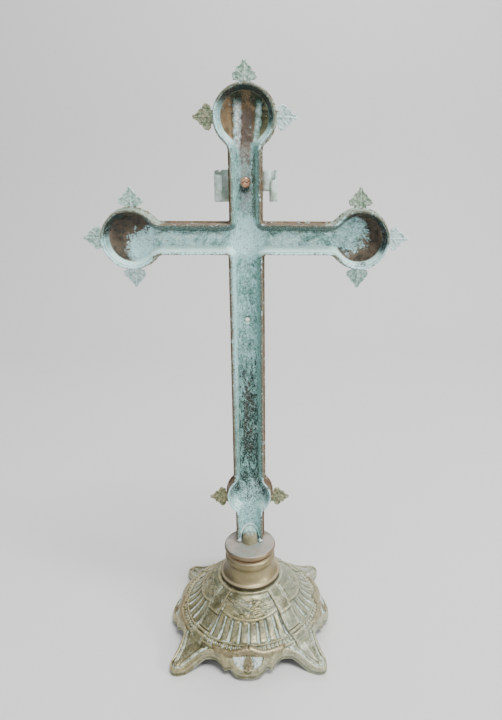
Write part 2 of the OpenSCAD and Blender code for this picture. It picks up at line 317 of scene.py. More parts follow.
def patina_fields(m):
    """The noises and masks that the parts of the verdigris share, kept on the material."""
    m.x, m.y, m.z = m.xyz
    m.inside, m.leaf = m.attr("inside"), m.attr("leaf")
    m.absx = abs(m.x)
    m.mid, m.fine = m.noise(105, 6, 0.65, 0.4, seed=3.1), m.noise(430, 5, 0.7, seed=7.7)
    m.grain = m.noise(1500, 3, 0.6, seed=1.3)
    m.blotch = m.noise(150, 4, 0.7, 1.2, seed=5.2)
    # streaks and specks run along the upright and along the arms
    m.on_arm = m.ramp(m.absx, 0.014, 0.02)
    sx = m.on_arm * -0.62 + 1.0
    sz = m.on_arm * 0.62 + 0.38
    streak_co = m.vector(m.x * sx, m.y, m.z * sz)
    m.streak = m.noise(330, 5, 0.7, 0.6, co=streak_co)
    m.pepper = m.noise(820, 3, 0.7, 0.5, co=streak_co, seed=2.9)
    normal = m.node("ShaderNodeSeparateXYZ", [m.node("ShaderNodeNewGeometry").outputs["Normal"]]).outputs
    m.up, m.down = m.ramp(normal[2], 0.15, 0.7), m.ramp(normal[2], -0.15, -0.7)
    m.front = m.ramp(m.y, -0.0128, -0.0134)
    m.depth = m.ramp(m.y, FLOOR_Y * MM, BACK_Y * MM)
    m.floor, m.wall = m.ramp(m.depth, 0.16, 0.04), m.ramp(m.depth, 0.05, 0.25)
    m.jag = m.fine * 0.5 + m.blotch * 0.7
    m.jag = (m.jag - 0.6) * 0.034 + (m.pepper * 0.014 - 0.007)
    m.ragged = m.vector(m.x + m.jag, 0.0, m.z + m.jag)
    m.left = m.ramp(m.x, 0.014, 0.02)
    m.foot = m.ramp(m.z, 0.138, 0.122)
    m.stem = m.ramp(m.z, 0.4, 0.412) * (1.0 - m.on_arm)


def patch(m, cx, cz, r0, r1):
    """A stain with a ragged edge: full inside r0 millimetres of (cx, cz), gone outside r1."""
    return m.near(cx * MM, cz * MM, r0 * MM, r1 * MM, m.ragged)


def salts(m):
    """Teal under mint under white salts, with dark specks."""
    # how far dark green shows through, by height: most of all in the lower upright
    low = m.ramp(m.z, 0.148, 0.166) * m.ramp(m.z, 0.33, 0.215)
    small = m.near(0, 0.148, 0.012, 0.022)
    dark_amount = low * 0.11 + m.foot * -0.03
    dark_amount = dark_amount + m.stem * 0.045
    dark_amount = dark_amount + (small * 0.06 + m.left * -0.045)
    col = m.mix(m.ramp(m.mid, 0.36, 0.6), TEAL, MINT)
    white_in = m.blotch * 0.45 + m.pepper * 0.55 + m.on_arm * 0.035
    white_in = white_in + m.left * 0.085
    white_in = white_in + m.near(0, ARM_Z * MM, 0.01, 0.022) * 0.11
    white_in = white_in + (m.foot * 0.07 + small * 0.05)
    col = m.mix(m.ramp(white_in, 0.46, 0.6), col, WHITE)
    # brown-black down the middle of the lower upright, dark green beside it
    heart = (m.ramp(m.absx + m.jag * 0.12, 0.0064, 0.003) * (m.ramp(m.z, 0.172, 0.196)
                                                             * m.ramp(m.z + m.jag, 0.286, 0.262)))
    speck = m.streak * 0.45 + m.pepper * 0.55 + dark_amount
    speck = heart * m.floor * 0.045 + speck
    speck_col = m.mix(heart, DARK_GREEN, m.mix(m.ramp(m.mid, 0.4, 0.6), (0.024, 0.027, 0.021),
                                               (0.058, 0.052, 0.038)))
    col = m.mix(m.ramp(speck, 0.555, 0.635) * (1.0 - m.up * 0.8), col, speck_col)
    return col


def walls_and_arms(m, col):
    """Greener walls, and broad green and white mottling along the arms."""
    wallcol = m.mix(m.ramp(m.fine, 0.42, 0.64), (0.1, 0.215, 0.178), MINT)
    wallcol = m.mix(m.ramp(m.foot * 0.03 + m.pepper, 0.53, 0.63), wallcol, WHITE)
    col = m.mix(m.wall * m.ramp(m.blotch, 0.35, 0.6, 0.45, 0.9), col, wallcol)
    cloud = m.noise(80, 6, 0.72, 0.8, seed=11.3)
    arms = m.on_arm * m.floor * m.ramp(m.absx, 0.08, 0.074)
    col = m.mix(arms * m.ramp(cloud, 0.505, 0.575, 0.0, 0.72), col,
                m.mix(m.ramp(m.fine, 0.4, 0.6), (0.06, 0.17, 0.125), (0.2, 0.43, 0.35)))
    col = m.mix(arms * m.ramp(cloud, 0.5, 0.43, 0.0, 0.8), col, (0.72, 0.97, 0.91))
    # on the upright the wall towards +X is pale with white salts and painted light, the other one greener and
    # darker with painted shade
    side = m.wall * (1.0 - m.on_arm) * (m.ramp(m.z, 0.2, 0.29) * m.ramp(m.z, ARM_Z * MM, (ARM_Z - 8) * MM))
    col = m.mix(side * m.ramp(m.x, 0.003, 0.007) * m.ramp(m.fine, 0.34, 0.54, 0.25, 0.75), col, WHITE)
    col = m.mix(side * m.ramp(m.x, -0.003, -0.007) * m.ramp(m.fine, 0.34, 0.54, 0.55, 0.15), col,
                (0.07, 0.19, 0.14))
    return col


def stains(m, col):
    """Stains, a painted shadow under the rivet, salts on what faces up and painted shade on what faces down,
    painted shade in a band on the arms, and gold specks.
    """
    # a mauve stain down the middle of the upper stem, and a painted shadow under the rivet
    stain = m.stem * m.floor * m.ramp(m.absx + m.jag * 0.15, 0.0062, 0.003)
    col = m.mix(stain * m.ramp(m.blotch, 0.42, 0.58, 0.65, 0.15), col, (0.46, 0.45, 0.45))
    rivet_shadow = m.near(0.0009, (RIVET_Z - 4.6) * MM, 0.0028, 0.0056) * m.floor
    col = m.mix(rivet_shadow * 0.9, col, (0.024, 0.034, 0.024))
    # salts on what faces up, painted shade in dark green and brown on what faces down
    col = m.mix(m.up * m.ramp(m.fine, 0.25, 0.5, 0.55, 0.98), col, (0.68, 0.97, 0.9))
    under = m.mix(m.ramp(m.mid, 0.4, 0.6), (0.022, 0.048, 0.03), (0.055, 0.042, 0.024))
    col = m.mix(m.down * m.ramp(m.fine, 0.3, 0.7, 0.97, 0.72), col, under)
    shade = (m.floor * (m.ramp(m.z, (ARM_Z + 0.5) * MM, (ARM_Z + 6) * MM)
                        * m.ramp(m.z, (ARM_Z + 9) * MM, (ARM_Z + 8) * MM)))
    shade = shade * m.on_arm * m.ramp(m.absx, 0.079, 0.074)
    col = m.mix(shade * m.ramp(m.streak, 0.4, 0.58, 0.1, 0.85), col, (0.035, 0.075, 0.05))
    # a dull olive line along one side of the upper stem
    line = m.ramp(abs(m.x + m.jag * 0.25 + 0.0068), 0.0021, 0.0009)
    line = line * m.ramp(m.z + m.jag, 0.398, 0.404) * m.ramp(m.z, 0.456, 0.448)
    col = m.mix(line * m.ramp(m.pepper, 0.62, 0.46, 0.35, 0.9), col, (0.075, 0.085, 0.04))
    # brown-gold specks along the middle of the arms
    gilt = m.floor * m.on_arm * m.ramp(abs(m.z - (ARM_Z - 2) * MM), 0.004, 0.001)
    col = m.mix(gilt * m.ramp(m.pepper, 0.54, 0.62, 0.0, 0.7), col, (0.13, 0.105, 0.05))
    return col


def back_rim(m, col):
    """The thin back rim: white salts along some stretches, dull brown elsewhere, a dark broken line just
    below its edge.
    """
    discs = m.most(m.near(ARM_X * MM, ARM_Z * MM, 0.0245, 0.03),
                   m.near(-ARM_X * MM, ARM_Z * MM, 0.0245, 0.03), m.near(0, TOP_Z * MM, 0.0245, 0.03))
    limy = m.most(patch(m, 24, 478, 7, 13), patch(m, 16, 461, 7, 12), patch(m, -16, 461, 7, 12),
                  patch(m, 95, 361, 13, 20), patch(m, 116, 376, 6, 12), patch(m, -94, 361, 12, 18),
                  patch(m, -112, 370, 7, 12), patch(m, -78, 398, 4, 9))
    plain = (1.0 - discs) * (m.on_arm * m.ramp(m.z, (ARM_Z - 2) * MM, (ARM_Z - 8) * MM))
    salted = m.most(limy, plain * 0.75, m.near(0, LOW_Z * MM, 0.021, 0.027))
    lime = salted * 0.16 + (m.blotch * 0.6 + m.fine * 0.4)
    m.rim = m.mix(m.ramp(lime, 0.55, 0.62), m.mix(m.ramp(m.fine, 0.4, 0.6), (0.085, 0.07, 0.04),
                                                  (0.2, 0.165, 0.1)), WHITE)
    col = m.mix(m.ramp(m.y, -0.0012, 0.0002) * m.ramp(m.pepper, 0.42, 0.56, 0.3, 0.95), col, m.rim)
    brim = m.ramp(m.y, -0.0036, -0.0024) * m.ramp(m.y, -0.0006, -0.0014)
    brim = brim * (salted * 0.8 + 0.1) * m.ramp(m.blotch, 0.42, 0.58, 0.05, 0.85)
    col = m.mix(brim, col, WHITE)
    # a dark broken line just below the rim's edge
    rim_dark_line = m.ramp(abs(m.y + 0.0015), 0.0007, 0.0002)
    col = m.mix(rim_dark_line * m.ramp(m.fine, 0.62, 0.44, 0.1, 0.75), col, (0.03, 0.034, 0.022))
    return col


def dark_corners(m, col):
    """Painted shade on the medallions' upper and outer walls and in their sheltered corners."""
    # painted shade: near-black on the medallions' upper and outer walls
    m.cup = m.most(m.near(ARM_X * MM, ARM_Z * MM, 0.0236, 0.0246),
                   m.near(-ARM_X * MM, ARM_Z * MM, 0.0236, 0.0246))
    lowest = m.ramp(m.x, -0.01, 0.01, (ARM_Z - 13) * MM, (ARM_Z - 3) * MM)
    m.cup = m.cup * m.ramp(m.z + m.jag * 0.6 - lowest, 0.0, 0.007) * m.ramp(m.absx, 0.078, 0.086)
    lowest = m.ramp(m.x, -0.012, 0.012, (TOP_Z - 8) * MM, (TOP_Z + 6) * MM)
    cap = m.near(0, TOP_Z * MM, 0.0236, 0.0246) * m.ramp(m.z + m.jag * 0.6 - lowest, 0.0, 0.008)
    m.cup = m.most(m.cup, cap * m.wall)
    m.cup = m.cup * m.ramp(m.depth, 0.0, 0.06) * m.ramp(m.y, -0.0002, -0.0012)
    col = m.mix(m.cup * m.ramp(m.pepper, 0.64, 0.5, 0.45, 0.95), col,
                m.mix(m.ramp(m.mid, 0.4, 0.6), (0.02, 0.022, 0.016), (0.07, 0.048, 0.032)))
    # painted shade: nearly black green in the sheltered corners of the medallions
    black = m.most(patch(m, 14.5, 147, 5.5, 9.5), patch(m, -13.5, 150, 5, 9), patch(m, -15, 140, 2, 5),
                   patch(m, 107, 398, 8, 14), patch(m, -114, 397, 9, 15), patch(m, -117, 384, 5, 9),
                   patch(m, -17, 491, 9, 15), patch(m, -21, 480, 4, 9), patch(m, 14, 497, 5, 9),
                   patch(m, 3, 501, 6, 10), patch(m, -97, 363, 2, 6), patch(m, -89, 402, 3, 7))
    keep = m.most(m.wall, m.ramp(m.z, 0.2, 0.19))
    black = black * keep * m.ramp(m.y, 0.0, -0.0014) * m.ramp(m.pepper, 0.62, 0.46, 0.25, 1.0)
    col = m.mix(black * 0.93, col, m.mix(m.ramp(m.mid, 0.42, 0.56), (0.01, 0.026, 0.02),
                                         (0.022, 0.016, 0.01)))

    # grey mottling in the side medallions
    mottle = (m.floor * m.ramp(m.absx, 0.07, 0.076) * m.ramp(m.noise(210, 5, 0.7, seed=4.9), 0.46, 0.62, 0.0,
                                                             0.6))
    col = m.mix(mottle, col, (0.3, 0.42, 0.43))
    # painted shade: near-black patches on the upper floor of the top medallion
    m.deep = m.most(patch(m, 7, 494, 4, 8), patch(m, -10, 492, 5, 9)) * m.floor * 0.85
    return col


def bare_floors(m, col):
    """Bare brown floor left in the three large medallions."""
    def disc(cx, cz, cover):
        return m.near(cx * MM, cz * MM, 0.0185, 0.0205) * (1.0 - cover)

    bare_l = disc(ARM_X, ARM_Z, m.most(patch(m, 84.5, 376, 12, 17.5), patch(m, 75, 382.5, 9.5, 14)))
    bare_r = disc(-ARM_X, ARM_Z, m.most(patch(m, -86, 388.5, 12.5, 17.5), patch(m, -77, 389, 9, 12.5)))
    m.bare_top = m.near(0, TOP_Z * MM, 0.019, 0.0205) * m.ramp(m.z + m.jag, 0.449, 0.456)
    centre = (m.ramp(m.absx, 0.0054, 0.0036) * (m.ramp(m.z + m.jag * 2.2, 0.436, 0.456)
                                                * m.ramp(m.z, 0.47, 0.462)))
    m.bare_top = (m.most(m.bare_top, centre) * (1.0 - m.ramp(m.attr("rib"), 0.25, 0.6)
                                                * m.ramp(m.fine, 0.42, 0.56, 0.35, 1.0)))
    m.bare_top = m.bare_top * m.ramp(m.noise(300, 4, 0.6, seed=8.8), 0.7, 0.6, 0.5, 1.0)
    brown = m.mix(m.ramp(m.mid, 0.38, 0.62), (0.05, 0.035, 0.025), (0.17, 0.116, 0.075))
    # painted shade: the bare floor darkens towards the top, under the medallion's upper wall
    brown = m.mix(m.ramp(m.z, (ARM_Z + 2) * MM, (ARM_Z + 12) * MM) * 0.5, brown, (0.012, 0.012, 0.01))
    rusty = m.mix(m.ramp(m.mid, 0.36, 0.58), (0.14, 0.085, 0.042), (0.31, 0.185, 0.085))
    rusty = m.mix(m.ramp(m.x, -0.006, -0.011), rusty, m.mix(m.ramp(m.mid, 0.4, 0.6), (0.115, 0.1, 0.042),
                                                            (0.27, 0.245, 0.11)))
    core = m.ramp(m.absx, 0.0075, 0.005) * m.ramp(m.z, 0.486, 0.478)
    rusty = m.mix(core * 0.8, rusty, m.mix(m.ramp(m.mid, 0.42, 0.6), (0.12, 0.08, 0.064),
                                           (0.3, 0.235, 0.205)))
    # painted shade: darker towards the top of the top medallion's floor
    rusty = m.mix(m.ramp(m.z, 0.49, 0.5) * 0.6, rusty, (0.05, 0.045, 0.02))
    m.bare = m.most(bare_l, bare_r) * m.floor
    col = m.mix(m.bare * 0.97, col, brown)
    m.bare_top = m.bare_top * m.floor
    col = m.mix(m.bare_top * 0.95, col, rusty)
    # painted shade: the near-black patches of m.deep
    col = m.mix(m.deep, col, (0.016, 0.034, 0.022))
    return col


def flecks(m, col):
    """Fine dark and white flecks, thickest round the foot, thick salts, and the boss's golden end."""
    fleck = m.noise(1150, 2, 0.6, seed=6.6)
    much = m.ramp(m.z, 0.162, 0.148) * 0.4 + 0.3
    much = much * (1.0 - m.most(m.bare, m.bare_top * 0.8, m.deep, m.cup * 0.9))
    col = m.mix(m.ramp(fleck, 0.53, 0.62) * much, col, (0.075, 0.14, 0.12))
    col = m.mix(m.ramp(fleck, 0.46, 0.38) * much, col, (0.74, 0.93, 0.92))
    # thick salts on the ribs and round the socket, and the golden-olive end of the rod's boss
    salt = m.attr("salt") * m.ramp(m.pepper * 0.5 + m.fine * 0.5, 0.42, 0.55, 0.15, 1.0)
    col = m.mix(salt, col, m.mix(m.ramp(m.x, -0.002, 0.002), (0.66, 0.88, 0.83), (0.8, 0.82, 0.83)))
    knob = (m.ramp(m.absx, 0.0074, 0.0062) * m.ramp(m.z + m.jag * 0.3, (COLLAR_TOP + 11.6) * MM,
                                                    (COLLAR_TOP + 9.6) * MM))
    knob = knob * m.ramp(m.y, -0.003, 0.001)
    col = m.mix(knob * 0.9, col, m.mix(m.ramp(m.mid, 0.36, 0.62), (0.185, 0.155, 0.075), (0.33, 0.3, 0.175)))
    return col


def outer_faces(m):
    """Outer faces and rim: dull brown brass, with pale crust round the medallions."""
    lobes = m.most(m.near(ARM_X * MM, ARM_Z * MM, 0.024, 0.034),
                   m.near(-ARM_X * MM, ARM_Z * MM, 0.024, 0.034), m.near(0, TOP_Z * MM, 0.024, 0.034) * 0.8)
    out = m.mix(m.ramp(m.mid, 0.35, 0.65), (0.095, 0.064, 0.037), (0.19, 0.13, 0.074))
    crust = m.blotch * 0.6 + m.fine * 0.4 + lobes * 0.12
    out = m.mix(m.ramp(crust, 0.54, 0.62) * 0.85, out, m.mix(m.ramp(m.fine, 0.4, 0.6), (0.22, 0.3, 0.23),
                                                             (0.5, 0.62, 0.54)))
    gold = m.mix(m.ramp(m.mid, 0.35, 0.7), (0.27, 0.19, 0.085), (0.4, 0.3, 0.15))
    out = m.mix(m.front * 0.85, out, gold)
    edge = m.ramp(m.y, -0.0004, 0.0006) * m.ramp(m.fine, 0.36, 0.52, 0.1, 0.95)
    out = m.mix(edge, out, m.rim)
    return out


def leaf_colour(m):
    """Leaf points: mint and white salts, or dull olive."""
    pale = m.mix(m.ramp(m.fine, 0.36, 0.6), (0.25, 0.44, 0.36), (0.68, 0.88, 0.81))
    pale = m.mix(m.ramp(m.pepper * 0.4 + m.mid * 0.6, 0.55, 0.63) * 0.5, pale, (0.14, 0.2, 0.14))
    pale = m.mix(m.ramp(m.leaf, 0.36, 0.31) * m.ramp(m.fine, 0.36, 0.54, 0.15, 0.8), pale, (0.76, 0.94, 0.96))
    olive = m.mix(m.ramp(m.fine, 0.4, 0.6), (0.12, 0.155, 0.08), (0.44, 0.42, 0.23))
    olive = m.mix(m.ramp(m.blotch, 0.5, 0.62) * 0.6, olive, (0.22, 0.13, 0.07))
    leafcol = m.mix(m.ramp(m.leaf, 0.4, 1.0), pale, olive)
    return m.mix(m.attr("vein") * 0.34, leafcol, (0.07, 0.1, 0.065))


def verdigris():
    """The cross casting: verdigris in its hollow back, brown brass outside, pale or olive leaves."""
    m = Mat("verdigris_brass")
    patina_fields(m)
    col = salts(m)
    for layer in (walls_and_arms, stains, back_rim, dark_corners, bare_floors, flecks):
        col = layer(m, col)
    m.bare = m.most(m.bare, m.bare_top)
    behind = m.ramp(m.leaf, 0.2, 0.3) * m.ramp(m.y, -0.0128, -0.012)
    colour = m.mix(m.inside, m.mix(behind, outer_faces(m), leaf_colour(m)), col)
    green = m.most(m.inside * (1.0 - m.bare * 0.5), behind)
    metal = green * -0.36 + (m.front * 0.2 + 0.36)
    rough = green * 0.26 + m.ramp(m.fine, 0.3, 0.7, 0.5, 0.66)
    height = m.mid * 0.6 + (m.fine * 0.6 + m.grain * 0.2)
    return m.done(colour, metal, rough, [(height, 0.0017, 0.7), (m.pepper, 0.0009, 0.5)], 0.22)


def base_brass():
    """Olive cast brass with pale green hollows, worn ridges and painted shade in its cuts and creases, by the
    marks on the mesh.
    """
    m = Mat("cast_base_brass")
    cav, ridge, dark = m.attr("cav"), m.attr("ridge"), m.attr("dark")
    big = m.noise(30, 5, 0.6, 0.4)
    mid = m.noise(120, 6, 0.62, 0.5, seed=2.2)
    fine = m.noise(520, 5, 0.6, seed=4.4)
    grain = m.noise(1700, 3, 0.6, seed=9.3)
    col = m.mix(m.ramp(mid, 0.36, 0.66), (0.105, 0.101, 0.048), (0.275, 0.252, 0.13))
    col = m.mix(m.ramp(big, 0.46, 0.66) * 0.2, col, (0.26, 0.2, 0.1))
    # a pale green haze, stronger towards -X
    side = m.ramp(m.xyz[0], 0.03, -0.06, -0.02, 0.15)
    haze = m.noise(48, 6, 0.7, 0.6, seed=6.1) * 0.6 + fine * 0.4 + side
    haze = m.ramp(haze, 0.42, 0.72) * 0.55
    col = m.mix(haze, col, (0.35, 0.41, 0.325))
    col = m.mix(ridge * m.ramp(fine, 0.3, 0.65, 0.35, 0.95), col,
                m.mix(haze, (0.5, 0.43, 0.23), (0.56, 0.58, 0.44)))
    col = m.mix(m.attr("warm") * m.ramp(mid, 0.3, 0.6, 0.8, 0.5), col,
                m.mix(m.ramp(fine, 0.3, 0.7), (0.2, 0.15, 0.078), (0.37, 0.29, 0.16)))
    pat = cav + (mid - 0.5) * 1.5
    pat = pat + (fine - 0.5) * 0.6
    pat = m.ramp(pat, 0.32, 0.85)
    salt = m.mix(m.ramp(fine, 0.32, 0.56), (0.28, 0.4, 0.34), (0.78, 0.88, 0.83))
    col = m.mix(pat * 0.88, col, salt)
    # painted shade in cuts, creases and under edges, from the mesh's dark marks
    crease_shade = dark * m.ramp(mid, 0.25, 0.6, 1.0, 0.65)
    col = m.mix(crease_shade, col, (0.034, 0.03, 0.016))
    under = m.ramp(m.attr("under"), 0.4, 0.6)
    col = m.mix(under, col, m.mix(m.ramp(mid, 0.4, 0.6), (0.1, 0.085, 0.055), (0.2, 0.22, 0.16)))
    metal = m.most(pat, haze) * -0.65 + 0.74
    rough = pat * 0.3 + m.ramp(fine, 0.3, 0.7, 0.28, 0.44)
    height = fine * 0.5 + (mid * 0.6 + grain * 0.2)
    return m.done(col, metal, rough, [(height, 0.0008, 0.4)])


def turned_brass(name, base, dark, groove, metal=0.7, rough=0.36):
    """Satin turned brass: brown lacquered tone, fine turning lines, painted shade towards +X, dark marks of
    dirt and painted shade, painted highlight lines and a dull pale top.
    """
    m = Mat(name)
    z = m.xyz[2]
    lines_co = m.vector(m.xyz[0] * 0.02, m.xyz[1] * 0.02, z)
    lines = m.noise(4200, 3, 0.6, co=lines_co)
    big = m.noise(45, 5, 0.6, 0.3)
    mid = m.noise(170, 5, 0.6, 0.3, seed=3.3)
    fine = m.noise(650, 4, 0.6, seed=8.1)
    col = m.mix(m.ramp(big, 0.35, 0.68), dark, base)
    col = m.mix(m.ramp(mid, 0.5, 0.7) * 0.35, col, (0.33, 0.3, 0.2))
    # painted shade: darker towards +X
    col = m.mix(m.ramp((mid - 0.5) * 0.02 + m.xyz[0], 0.0, 0.026, 0.0, 0.9), col,
                tuple(c * 0.4 for c in dark))
    col = m.mix(m.attr("groove") * 0.85, col, groove)
    pale = m.attr("pale")
    col = m.mix(pale * m.ramp(mid, 0.3, 0.6, 0.6, 0.9), col,
                m.mix(m.ramp(m.noise(70, 4, 0.6, seed=7.1), 0.42, 0.58), (0.29, 0.335, 0.3),
                      (0.38, 0.335, 0.3)))
    # dark marks from the mesh: painted shade on the neck, darker edges on the collar, dirt on the small metal
    # parts
    col = m.mix(m.attr("dirt") * 0.9, col, (0.045, 0.036, 0.022))
    # painted highlight lines from the mesh's shine marks
    col = m.mix(m.attr("shine") * 0.8, col, (0.58, 0.49, 0.32))
    metalv = pale * (-metal * 0.75) + metal
    r = m.ramp(fine, 0.3, 0.7, rough - 0.05, rough + 0.1) + pale * 0.16
    return m.done(col, metalv, r, [(lines, 0.00012, 0.5), (mid, 0.0004, 0.18)])


def plain_metal(name, light, dark, metal, rough, scale=300, patina=None, amount=0.0):
    """Two tones of metal, with blotches of patina if a colour for them is given."""
    m = Mat(name)
    big = m.noise(scale * 0.3, 5, 0.6, 0.3, seed=1.9)
    fine = m.noise(scale * 2.2, 5, 0.6, seed=5.9)
    col = m.mix(m.ramp(big, 0.35, 0.65), dark, light)
    if patina:
        col = m.mix(m.ramp(m.noise(scale * 0.6, 5, 0.65, 0.8, seed=2.7), 0.42, 0.6) * amount, col, patina)
    col = m.mix(m.attr("dirt") * 0.85, col, tuple(c * 0.25 for c in dark))
    r = m.ramp(fine, 0.3, 0.7, rough - 0.07, rough + 0.12)
    return m.done(col, metal, r, [(fine, 0.0003, 0.35), (big, 0.0006, 0.3)])


VERDIGRIS = verdigris()
BASE = base_brass()
NECK = turned_brass("turned_neck_brass", (0.345, 0.285, 0.150), (0.235, 0.188, 0.096), (0.235, 0.155, 0.085),
                    rough=0.42)
COLLAR = turned_brass("turned_collar_brass", (0.30, 0.225, 0.135), (0.21, 0.155, 0.09), (0.27, 0.15, 0.08))
SCROLL = plain_metal("scroll_plate_patina", (0.46, 0.64, 0.56), (0.32, 0.40, 0.29), 0.12, 0.72, 260,
                     (0.68, 0.80, 0.76), 0.85)
COPPER = plain_metal("hammered_copper", (0.62, 0.37, 0.235), (0.42, 0.21, 0.12), 0.75, 0.42, 420)
ROD = plain_metal("golden_rod_brass", (0.46, 0.31, 0.14), (0.30, 0.19, 0.085), 0.8, 0.40, 420,
                  (0.26, 0.24, 0.15), 0.5)
STEEL = plain_metal("dull_steel", (0.30, 0.29, 0.275), (0.16, 0.14, 0.12), 0.85, 0.5, 400,
                    (0.20, 0.10, 0.05), 0.5)


# ---- cross casting -------------------------------------------------------------------------
def arc(c, r, a0, a1, sign, step=0.8):
    """Points and outward normals along a round arc, angles in degrees in the (x, z) plane."""
    n = max(4, int(abs(math.radians(a1 - a0)) * r / step) + 1)
    t = np.radians(np.linspace(a0, a1, n))
    u = np.stack([np.cos(t), np.sin(t)], axis=1)
    return np.array(c) + r * u, sign * u


def straight(p, q, step=1.0):
    p, q = np.array(p, float), np.array(q, float)
    n = max(2, int(np.linalg.norm(q - p) / step))
    t = np.linspace(0, 1, n)[:, None]
    d = (q - p) / np.linalg.norm(q - p)
    return p + (q - p) * t, np.repeat([[d[1], -d[0]]], n, axis=0)


def half_outline():
    """Right half of the back rim's outline, from the foot up to the top of the cross."""
    parts = []
    fillet = 5.0
    # small medallion on the upright
    drop = math.sqrt((LOW_R + fillet) ** 2 - (STEM_W + fillet) ** 2)
    low_angle = math.degrees(math.atan2(drop, STEM_W + fillet))
    parts.append(straight((STEM_W, COLLAR_TOP), (STEM_W, LOW_Z - drop)))
    parts.append(arc((STEM_W + fillet, LOW_Z - drop), fillet, 180, 180 - low_angle, -1))
    rise = math.sqrt((LOW_R + fillet) ** 2 - (SHAFT_W + fillet) ** 2)
    high_angle = math.degrees(math.atan2(rise, SHAFT_W + fillet))
    parts.append(arc((0, LOW_Z), LOW_R, -low_angle, high_angle, 1))
    parts.append(arc((SHAFT_W + fillet, LOW_Z + rise), fillet, 180 + high_angle, 180, -1))
    # crossing and arm
    corner, bend = 3.4, 9.0
    parts.append(straight((SHAFT_W, LOW_Z + rise), (SHAFT_W, ARM_Z - ARM_W - corner)))
    parts.append(arc((SHAFT_W + corner, ARM_Z - ARM_W - corner), corner, 180, 90, -1, 0.5))
    reach = math.sqrt((LOBE_R + bend) ** 2 - (ARM_W + bend) ** 2)
    arm_angle = math.degrees(math.atan2(ARM_W + bend, reach))
    parts.append(straight((SHAFT_W + corner, ARM_Z - ARM_W), (ARM_X - reach, ARM_Z - ARM_W)))
    parts.append(arc((ARM_X - reach, ARM_Z - ARM_W - bend), bend, 90, arm_angle, -1))
    parts.append(arc((ARM_X, ARM_Z), LOBE_R, arm_angle - 180, 180 - arm_angle, 1))
    parts.append(arc((ARM_X - reach, ARM_Z + ARM_W + bend), bend, -arm_angle, -90, -1))
    parts.append(straight((ARM_X - reach, ARM_Z + ARM_W), (ARM_W + corner, ARM_Z + ARM_W)))
    parts.append(arc((ARM_W + corner, ARM_Z + ARM_W + corner), corner, 270, 180, -1, 0.5))
    # top medallion
    top_angle = 90 - arm_angle
    parts.append(straight((ARM_W, ARM_Z + ARM_W + corner), (ARM_W, TOP_Z - reach)))
    parts.append(arc((ARM_W + bend, TOP_Z - reach), bend, 180, 180 - top_angle, -1))
    parts.append(arc((0, TOP_Z), LOBE_R, -top_angle, 90, 1))
    p = np.vstack([q[0] for q in parts])
    n = np.vstack([q[1] for q in parts])
    keep = np.concatenate([[True], np.linalg.norm(np.diff(p, axis=0), axis=1) > 0.05])
    return p[keep], n[keep]


def fill(shape, loops, y, **attrs):
    """Fills flat loops of (x, z) points at depth y."""
    vs = [[Vector((p[0], y, p[1])) for p in loop] for loop in loops]
    tris = tessellate_polygon(vs)
    pts = np.array([(p[0], y, p[1]) for loop in loops for p in loop])
    shape.add(pts, tris, **attrs)


def leaf_radii(n):
    """Five-lobed leaf as distances from its middle, for n directions; it grows along +z."""
    mid = np.array([0.0, 7.4])
    t = np.linspace(0, 2 * np.pi, n, endpoint=False)
    d = np.stack([np.cos(t), np.sin(t)], axis=1)
    r = np.zeros(n)
    for cx, cy, cr in ((0, 1.0, 5.3), (0, -2.0, 6.2), (6.3, 6.0, 3.4), (-6.3, 6.0, 3.4), (3.1, 10.3, 3.0),
                       (-3.1, 10.3, 3.0), (0, 8.0, 5.1), (0, 12.3, 3.4), (0, 14.5, 2.3), (0, 16.3, 1.45)):
        rel = np.array([cx, cy]) - mid
        along = d @ rel
        disc = cr * cr - (rel @ rel - along ** 2)
        r = np.maximum(r, np.where(disc > 0, along + np.sqrt(np.maximum(disc, 0)), 0))
    return mid, t, d, r


